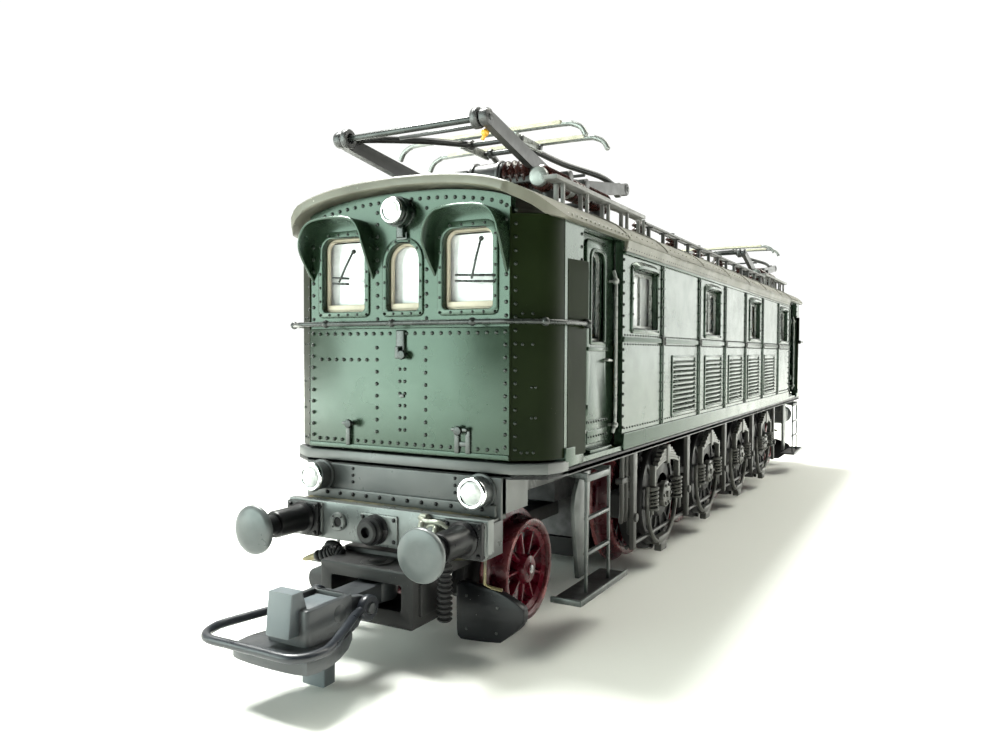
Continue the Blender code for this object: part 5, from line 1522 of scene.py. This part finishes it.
def make_pantograph():
    for where, turned in ENDS:
        node = "pantograph_base_" + where
        shapes = Shapes()
        for side in SIDES:
            for end in SIDES:
                # Foot, clamp and bearing of each corner.
                foot = (side * 10.2, PANTO_Y + end * 7.2, 0)
                shapes.drum(1.0, 47.6, 49.1, "z", foot, 24, 0.12)
                shapes.drum(0.7, 49.0, 50.1, "z", foot, 20, 0.1)
                at = PANTO_Y + end * 2.5
                xs = span(side, 9.55, 10.85)
                shapes.box((xs[0], at - 0.85, 50.6), (xs[1], at + 0.85, 52.2), 0.25)
                shapes.drum(0.75, xs[0] - 0.05, xs[1] + 0.05, "x", (0, at, 51.6), 20, 0.1)
        for end in SIDES:
            at = PANTO_Y + end * 8.6
            shapes.box((-10.6, at - 0.4, 50.0), (10.6, at + 0.4, 50.75), 0.12)
        shapes.drum(1.7, 0.6, 5.0, "x", (0, PANTO_Y - 7.6, 51.2), 28, 0.25)
        for x in (0.9, 4.3):
            shapes.ring(1.6, 1.9, x, x + 0.4, "x", (0, PANTO_Y - 7.6, 51.2), 28, 0.08)
        shapes.tube([(-2.4, PANTO_Y - 8.4, 50.9), (0.8, PANTO_Y - 7.8, 51.1)], 0.35, 10)
        shapes.box((-2.6, PANTO_Y - 8.9, 51.6), (0.4, PANTO_Y - 7.9, 52.2), 0.15)
        piece("pantograph_mounts_" + where, shapes, ARM_METAL, "chassis", turned=turned,
              replaces=[node], sharp=38)
        shapes = Shapes()
        for side in SIDES:
            insulator(shapes, "y", (side * 10.2, PANTO_Y, 50.3), -9.5, -3.3, 1.42)
            insulator(shapes, "y", (side * 10.2, PANTO_Y, 50.3), 3.3, 9.5, 1.42)
            insulator(shapes, "y", (side * 10.2, PANTO_Y, 50.3), -1.6, 1.6, 1.3)
        insulator(shapes, "x", (0, PANTO_Y - 8.4, 50.6), -7.1, -2.4, 1.35)
        insulator(shapes, "x", (0, PANTO_Y - 7.6, 51.2), 5.0, 8.4, 1.75, 0.85)
        piece("pantograph_insulators_" + where, shapes, INSULATOR, "chassis", turned=turned,
              sharp=50)
        shapes = Shapes()
        for side in SIDES:
            for low, high in ((-3.3, -1.6), (1.6, 3.3), (-10.1, -9.4), (9.4, 10.1)):
                shapes.drum(1.1, PANTO_Y + low, PANTO_Y + high, "y", (side * 10.2, 0, 50.3), 24, 0.12)
        shapes.drum(1.25, -7.7, -7.0, "x", (0, PANTO_Y - 8.4, 50.6), 24, 0.1)
        shapes.drum(0.8, 8.3, 9.2, "x", (0, PANTO_Y - 7.6, 51.2), 24, 0.1)
        # Pale tubes along the roof between the insulators.
        shapes.tube([(-2.4, PANTO_Y - 7.9, 51.9), (0.8, PANTO_Y - 6.6, 52.1)], 0.22, 10)
        shapes.tube([(-9.2, PANTO_Y - 6.0, 49.7), (9.2, PANTO_Y - 6.0, 49.7)], 0.3, 10)
        piece("pantograph_clamps_" + where, shapes, PALE_METAL, "chassis", turned=turned)

        for half in ("front", "rear"):
            end = -1 if half == "front" else 1
            pivot, knee = PANTO_Y + end * 2.5, PANTO_Y + end * 20.0
            body = "panto_lower_%s_%s" % (half, where)
            shapes = Shapes()
            shapes.drum(0.5, -10.0, 10.0, "x", (0, pivot, 51.6), 18, 0.06)
            for side in SIDES:
                # A flat bar, with a round end at the knee and at the pivot.
                rings = []
                for t, tall in ((0.0, 0.75), (0.06, 0.95), (0.5, 0.85), (0.93, 0.78), (1.0, 0.7)):
                    y, z = pivot + (knee - pivot) * t, 51.6 + 2.7 * t
                    x = side * (8.1 + 1.2 * t)
                    rings.append([(x - 0.42, y, z - tall), (x + 0.42, y, z - tall), (x + 0.46, y, z),
                                  (x + 0.42, y, z + tall), (x - 0.42, y, z + tall), (x - 0.46, y, z)])
                shapes.loft(rings)
                low, high = span(side, 8.8, 9.8)
                shapes.drum(0.88, low, high, "x", (0, knee, 54.3), 28, 0.2)
                low, high = span(side, 7.6, 8.6)
                shapes.drum(0.95, low, high, "x", (0, pivot, 51.6), 24, 0.15)
            piece("lower_arms_%s_%s" % (half, where), shapes, ARM_METAL, body, turned=turned,
                  replaces=["pantograph_lower_%s_%s" % (half, where)], sharp=40)
            shapes = Shapes()
            shapes.drum(0.34, -9.9, 9.9, "x", (0, knee, 54.3), 16, 0.05)
            piece("knee_rod_%s_%s" % (half, where), shapes, RAIL_METAL, body, turned=turned)
            shapes = Shapes()
            head_y = PANTO_Y + end * 2.5
            for side in SIDES:
                low, high = span(side, 7.9, 8.7)
                shapes.ring(0.5, 1.05, low, high, "x", (0, knee, 54.3), 26, 0.1)
                reach = (PANTO_Y - 2.5 if half == "front" else PANTO_Y + 2.5) - knee
                spots = [(8.3, 0.8, 54.5), (8.25, 2.2, 54.75), (7.5, 5.4, 55.4)]
                path = [(side * x, knee - end * dy, z) for x, dy, z in spots]
                path += [(side * 4.7, knee + reach * 0.62, 56.15), (side * 2.9, head_y, 57.0)]
                shapes.tube(smooth_path(path, 6), 0.4, 14)
                shapes.drum(0.62, side * 2.9 - 0.3, side * 2.9 + 0.3, "x", (0, head_y, 57.0), 18, 0.08)
            shapes.drum(0.34, -4.5, 4.5, "x", (0, head_y, 57.0), 14, 0.05)
            shapes.tube([(-5.7, knee + reach * 0.35, 55.55), (5.7, knee + reach * 0.35, 55.55)], 0.22, 10)
            piece("upper_arms_%s_%s" % (half, where), shapes, UPPER_METAL,
                  "panto_upper_%s_%s" % (half, where),
                  turned=turned, replaces=["pantograph_upper_%s_%s" % (half, where)],
                  sharp=45)

        shapes = Shapes()
        for side in SIDES:
            low, high = span(side, 3.72, 4.18)
            shapes.plate([(-64.0, 56.5), (-57.0, 56.5), (-56.8, 57.5), (-64.2, 57.5)], low, high, "right",
                         edge=0.1, back=True)
        for y in (-64.0, -57.0):
            half = [(0, 57.72), (5.0, 57.72), (10.4, 57.66), (11.6, 57.45), (12.6, 56.9), (13.15, 55.95)]
            path = [(x, y, z) for x, z in half]
            path = [(-x, y, z) for x, _, z in reversed(path[1:])] + path
            shapes.tube(smooth_path(path, 5), 0.33, 10)
        piece("pan_frame_" + where, shapes, PALE_METAL, "panto_head_" + where, turned=turned,
              replaces=["pantograph_head_" + where], sharp=45)
        shapes = Shapes()
        for y in (-64.0, -57.0):
            rings = []
            for x in (-10.2, -10.0, -5, 0, 5, 10.0, 10.2):
                grow = 0.0 if abs(x) < 10.1 else 0.12
                rings.append([(x, y - 0.42 + grow, 57.6), (x, y + 0.42 - grow, 57.6),
                              (x, y + 0.36 - grow, 58.06 - grow),
                              (x, y - 0.36 + grow, 58.06 - grow)])
            shapes.loft(rings)
        piece("contact_strips_" + where, shapes, STRIP, "panto_head_" + where, turned=turned)
        shapes = Shapes()
        shapes.ball((8.4, PANTO_Y - 18.6, 53.2), 0.42, 14, 8)
        shapes.tube([(8.1, PANTO_Y - 18.6, 52.5), (8.4, PANTO_Y - 18.6, 53.2)], 0.2, 8)
        piece("arm_amber_" + where, shapes, AMBER, "panto_lower_front_" + where, turned=turned)


def make_walkways():
    shapes = Shapes()
    for side in SIDES:
        # A grey plank on posts along each side of each pantograph.
        xs = span(side, 12.2, 13.8)
        for low, high in ((-73.3, -44.3), (44.3, 73.3)):
            shapes.box((xs[0], low, 49.15), (xs[1], high, 49.65), 0.08)
        ys = [y for sign in SIDES for y in [sign * (43.65 + 6.76 * i) for i in range(5)]]
        for y in ys:
            shapes.box((side * 12.5 - 0.25, y - 0.2, 46.6), (side * 12.5 + 0.25, y + 0.2, 49.2), 0.06)
            shapes.box((side * 13.3 - 0.2, y - 0.2, 46.2), (side * 13.3 + 0.2, y + 0.2, 49.2), 0.06)
    piece("walkway_planks", shapes, PLANK, "chassis")
    shapes = Shapes()
    for side in SIDES:
        for x in (12.6, 13.5):
            shapes.tube([(side * x, -43.6, 48.75), (side * x, 43.6, 48.75)], 0.2, 8)
        for y in [6.76 * i for i in range(-6, 7)]:
            low, high = span(side, 12.4, 13.7)
            shapes.box((low, y - 0.2, 48.5), (high, y + 0.2, 48.75), 0.05)
            shapes.box((side * 13.0 - 0.25, y - 0.25, 46.5), (side * 13.0 + 0.25, y + 0.25, 48.6), 0.06)
    piece("walkway_rods", shapes, SIDE_METAL, "chassis")
    shapes = Shapes()
    # Roof hatches, the main line on insulators and a resistor cabinet between the pantographs.
    for y in (-34.0, -17.0, 17.0, 34.0):
        shapes.box((-7.0, y - 5.5, 47.6), (7.0, y + 5.5, 49.7), 0.4)
        for x in (-5.2, 0.0, 5.2):
            shapes.box((x - 0.2, y - 5.3, 49.5), (x + 0.2, y + 5.3, 49.95), 0.1)
    shapes.box((-4.0, -5.0, 48.0), (4.0, 5.0, 50.6), 0.5)
    for y in (-78.0, 78.0):
        shapes.lathe([(0, 48.0), (1.6, 48.0), (1.6, 48.9), (1.2, 49.3), (0, 49.4)], "z", (0, y, 0), 28)
    piece("roof_hatches", shapes, ROOF, "chassis")
    shapes = Shapes()
    for x, y in ((9.3, -34), (9.3, -17), (9.3, 0), (9.3, 17), (9.3, 34)):
        insulator(shapes, "z", (x, y, 0), 47.5, 50.6, 1.1, 0.8)
    piece("line_insulators", shapes, INSULATOR, "chassis", sharp=50)
    shapes = Shapes()
    shapes.tube([(9.3, -50.5, 50.6), (9.3, -44.0, 50.85), (9.3, 44.0, 50.85), (9.3, 50.5, 50.6)], 0.25,
                10)
    for y in (-34, -17, 0, 17, 34):
        shapes.drum(0.5, 50.5, 51.15, "z", (9.3, y, 0), 18, 0.08)
    piece("main_line", shapes, PALE_METAL, "chassis")


# ---------------------------------------------------------------- materials of the kept CAD nodes
def dress(names, material):
    for name in names:
        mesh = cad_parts[name].data
        mesh.materials.clear()
        mesh.materials.append(material)
        mesh.shade_smooth()
        mesh.set_sharp_from_angle(angle=math.radians(30))


make_body()
make_roof()
make_underframe()
make_lamps()
make_front_fittings()
make_side_fittings()
make_buffers()
make_steps()
make_pony()
make_hoses()
make_coupler()
make_wheels()
make_drive_casing()
make_side_frame_left()
make_pantograph()
make_walkways()

dress(["chassis_block"], CAST)
dress(["gearbox_cover"], BLACK)
dress(["circuit_board"], BOARD)
dress(["motor_housing", "motor_shaft"], STEEL)
dress(["flywheel_front", "flywheel_rear", "worm_front", "worm_rear"], BRASS)
dress(["worm_gear_front", "worm_gear_rear"] + ["axle_gear_%d" % n for n in range(1, 5)], GEAR)
dress(["window_glazing"], PANE)
dress(["cab_interior_front", "cab_interior_rear"], CAB)
dress(["light_guide_front", "light_guide_rear"], LENS)


# ---------------------------------------------------------------- stage, camera and light
def make_stage():
    floor_mesh = bpy.data.meshes.new("floor")
    bm = bmesh.new()
    bmesh.ops.create_grid(bm, x_segments=2, y_segments=2, size=6.0)
    bm.to_mesh(floor_mesh)
    bm.free()
    floor = bpy.data.objects.new("floor", floor_mesh)
    bpy.context.scene.collection.objects.link(floor)
    finish = Finish("floor_sheet", 0.62, Specular_IOR_Level=0.3)
    finish.colour(finish.ramp(finish.noise(160, 3.0),
                              [(0.3, (0.80, 0.81, 0.77)), (0.7, (0.84, 0.85, 0.81))]))
    finish.roughness(finish.spread(finish.noise(40), 0.55, 0.7))
    # The sheet glows more the further it is from the model: painted light that fades it into the bright
    # room, while the shade near the model stays dark.
    away = finish.nodes.new("ShaderNodeVectorMath")
    away.operation = "LENGTH"
    finish.links.new(finish.coordinates, away.inputs[0])
    painted_floor_light = finish.spread(away.outputs["Value"], 0.0, 0.80, 0.22, 0.9)
    finish.links.new(painted_floor_light, finish.shader.inputs["Emission Strength"])
    finish.links.new(finish.ramp(finish.noise(200), [(0.3, (0.97, 0.98, 0.95)), (0.7, (1.0, 1.0, 0.98))]),
                     finish.shader.inputs["Emission Color"])
    floor_mesh.materials.append(finish.material)


# The camera solved from the photograph: place in millimetres, turns in degrees, lens in millimetres.
CAMERA_AT = (49.02, -149.44, 30.83)
CAMERA_YAW, CAMERA_PITCH, CAMERA_ROLL = 28.87, -1.66, 0.23
LENS_LENGTH, SENSOR_WIDTH = 28.43244, 36.0


def make_camera():
    data = bpy.data.cameras.new("camera")
    data.sensor_width = SENSOR_WIDTH
    data.lens = LENS_LENGTH
    data.clip_start = 0.005
    data.clip_end = 50.0
    camera = bpy.data.objects.new("camera", data)
    yaw, pitch, roll = (math.radians(turn) for turn in (CAMERA_YAW, CAMERA_PITCH, CAMERA_ROLL))
    ahead = Vector((-math.sin(yaw) * math.cos(pitch), math.cos(yaw) * math.cos(pitch), math.sin(pitch)))
    right = Vector((math.cos(yaw), math.sin(yaw), 0))
    up = right.cross(ahead)
    right, up = (right * math.cos(roll) + up * math.sin(roll),
                 up * math.cos(roll) - right * math.sin(roll))
    turn = Matrix((right, up, -ahead)).transposed()
    camera.matrix_world = Matrix.Translation(Vector(CAMERA_AT) * MM) @ turn.to_4x4()
    bpy.context.scene.collection.objects.link(camera)
    bpy.context.scene.camera = camera


def area_light(name, at, target, size, watts, colour):
    data = bpy.data.lights.new(name, "AREA")
    data.shape = "RECTANGLE"
    data.size, data.size_y = size
    data.energy = watts
    data.color = colour
    obj = bpy.data.objects.new(name, data)
    at, target = Vector(at), Vector(target)
    obj.location = at
    obj.rotation_euler = (target - at).to_track_quat("-Z", "Y").to_euler()
    bpy.context.scene.collection.objects.link(obj)
    return obj


def make_world():
    """A white room with a wide dark patch on the camera's side, centred on where the corner faces.

    The patch lights and is mirrored only: the camera itself sees plain white.
    """
    world = bpy.data.worlds.new("studio")
    world.use_nodes = True
    bpy.context.scene.world = world
    nodes, links = world.node_tree.nodes, world.node_tree.links
    background = nodes["Background"]
    where = nodes.new("ShaderNodeTexCoord").outputs["Generated"]
    toward = nodes.new("ShaderNodeVectorMath")
    toward.operation = "DOT_PRODUCT"
    toward.inputs[1].default_value = Vector((0.53, -0.85, 0.05)).normalized()
    links.new(where, toward.inputs[0])
    shift = nodes.new("ShaderNodeMapRange")
    shift.inputs["From Min"].default_value = -1.0
    shift.inputs["From Max"].default_value = 1.0
    links.new(toward.outputs["Value"], shift.inputs["Value"])
    ramp = nodes.new("ShaderNodeValToRGB")
    ramp.color_ramp.interpolation = "EASE"
    elements = ramp.color_ramp.elements
    elements[0].position, elements[0].color = 0.42, (1.0, 1.0, 0.93, 1)
    elements[1].position, elements[1].color = 0.72, (0.012, 0.013, 0.010, 1)
    links.new(shift.outputs["Result"], ramp.inputs["Fac"])
    links.new(ramp.outputs["Color"], background.inputs["Color"])
    background.inputs["Strength"].default_value = 0.85
    white = nodes.new("ShaderNodeBackground")
    white.inputs["Color"].default_value = (0.99, 1.0, 0.99, 1)
    white.inputs["Strength"].default_value = 1.05
    seen = nodes.new("ShaderNodeLightPath")
    mix = nodes.new("ShaderNodeMixShader")
    links.new(seen.outputs["Is Camera Ray"], mix.inputs["Fac"])
    links.new(background.outputs["Background"], mix.inputs[1])
    links.new(white.outputs["Background"], mix.inputs[2])
    links.new(mix.outputs["Shader"], nodes["World Output"].inputs["Surface"])


def make_light():
    make_world()
    # Lamps beside, above and behind. The table faces up from the floor, out of the camera's view.
    area_light("window", (-0.62, -0.92, 0.18), (0, -0.08, 0.03), (0.95, 0.72), 15, (0.84, 1.0, 0.93))
    table = area_light("table", (-0.26, -0.50, 0.004), (-0.30, -0.50, 1.0), (0.56, 0.70), 7.0,
                       (0.84, 1.0, 0.93))
    table.rotation_euler = (math.pi, 0, math.radians(-33))
    area_light("side_sky", (-0.42, 0.05, 1.0), (0, -0.02, 0.0), (0.4, 0.4), 36, (0.98, 1.0, 0.96))
    area_light("top", (0.45, 0.55, 0.8), (0, 0.02, 0.0), (0.5, 0.6), 8, (1.0, 1.0, 0.90))
    area_light("back", (0.62, 1.1, 0.16), (0, 0.02, 0.03), (0.9, 0.5), 3.6, (0.97, 1.0, 0.96))


make_stage()
make_camera()
make_light()
bpy.context.scene.view_settings.view_transform = "Standard"
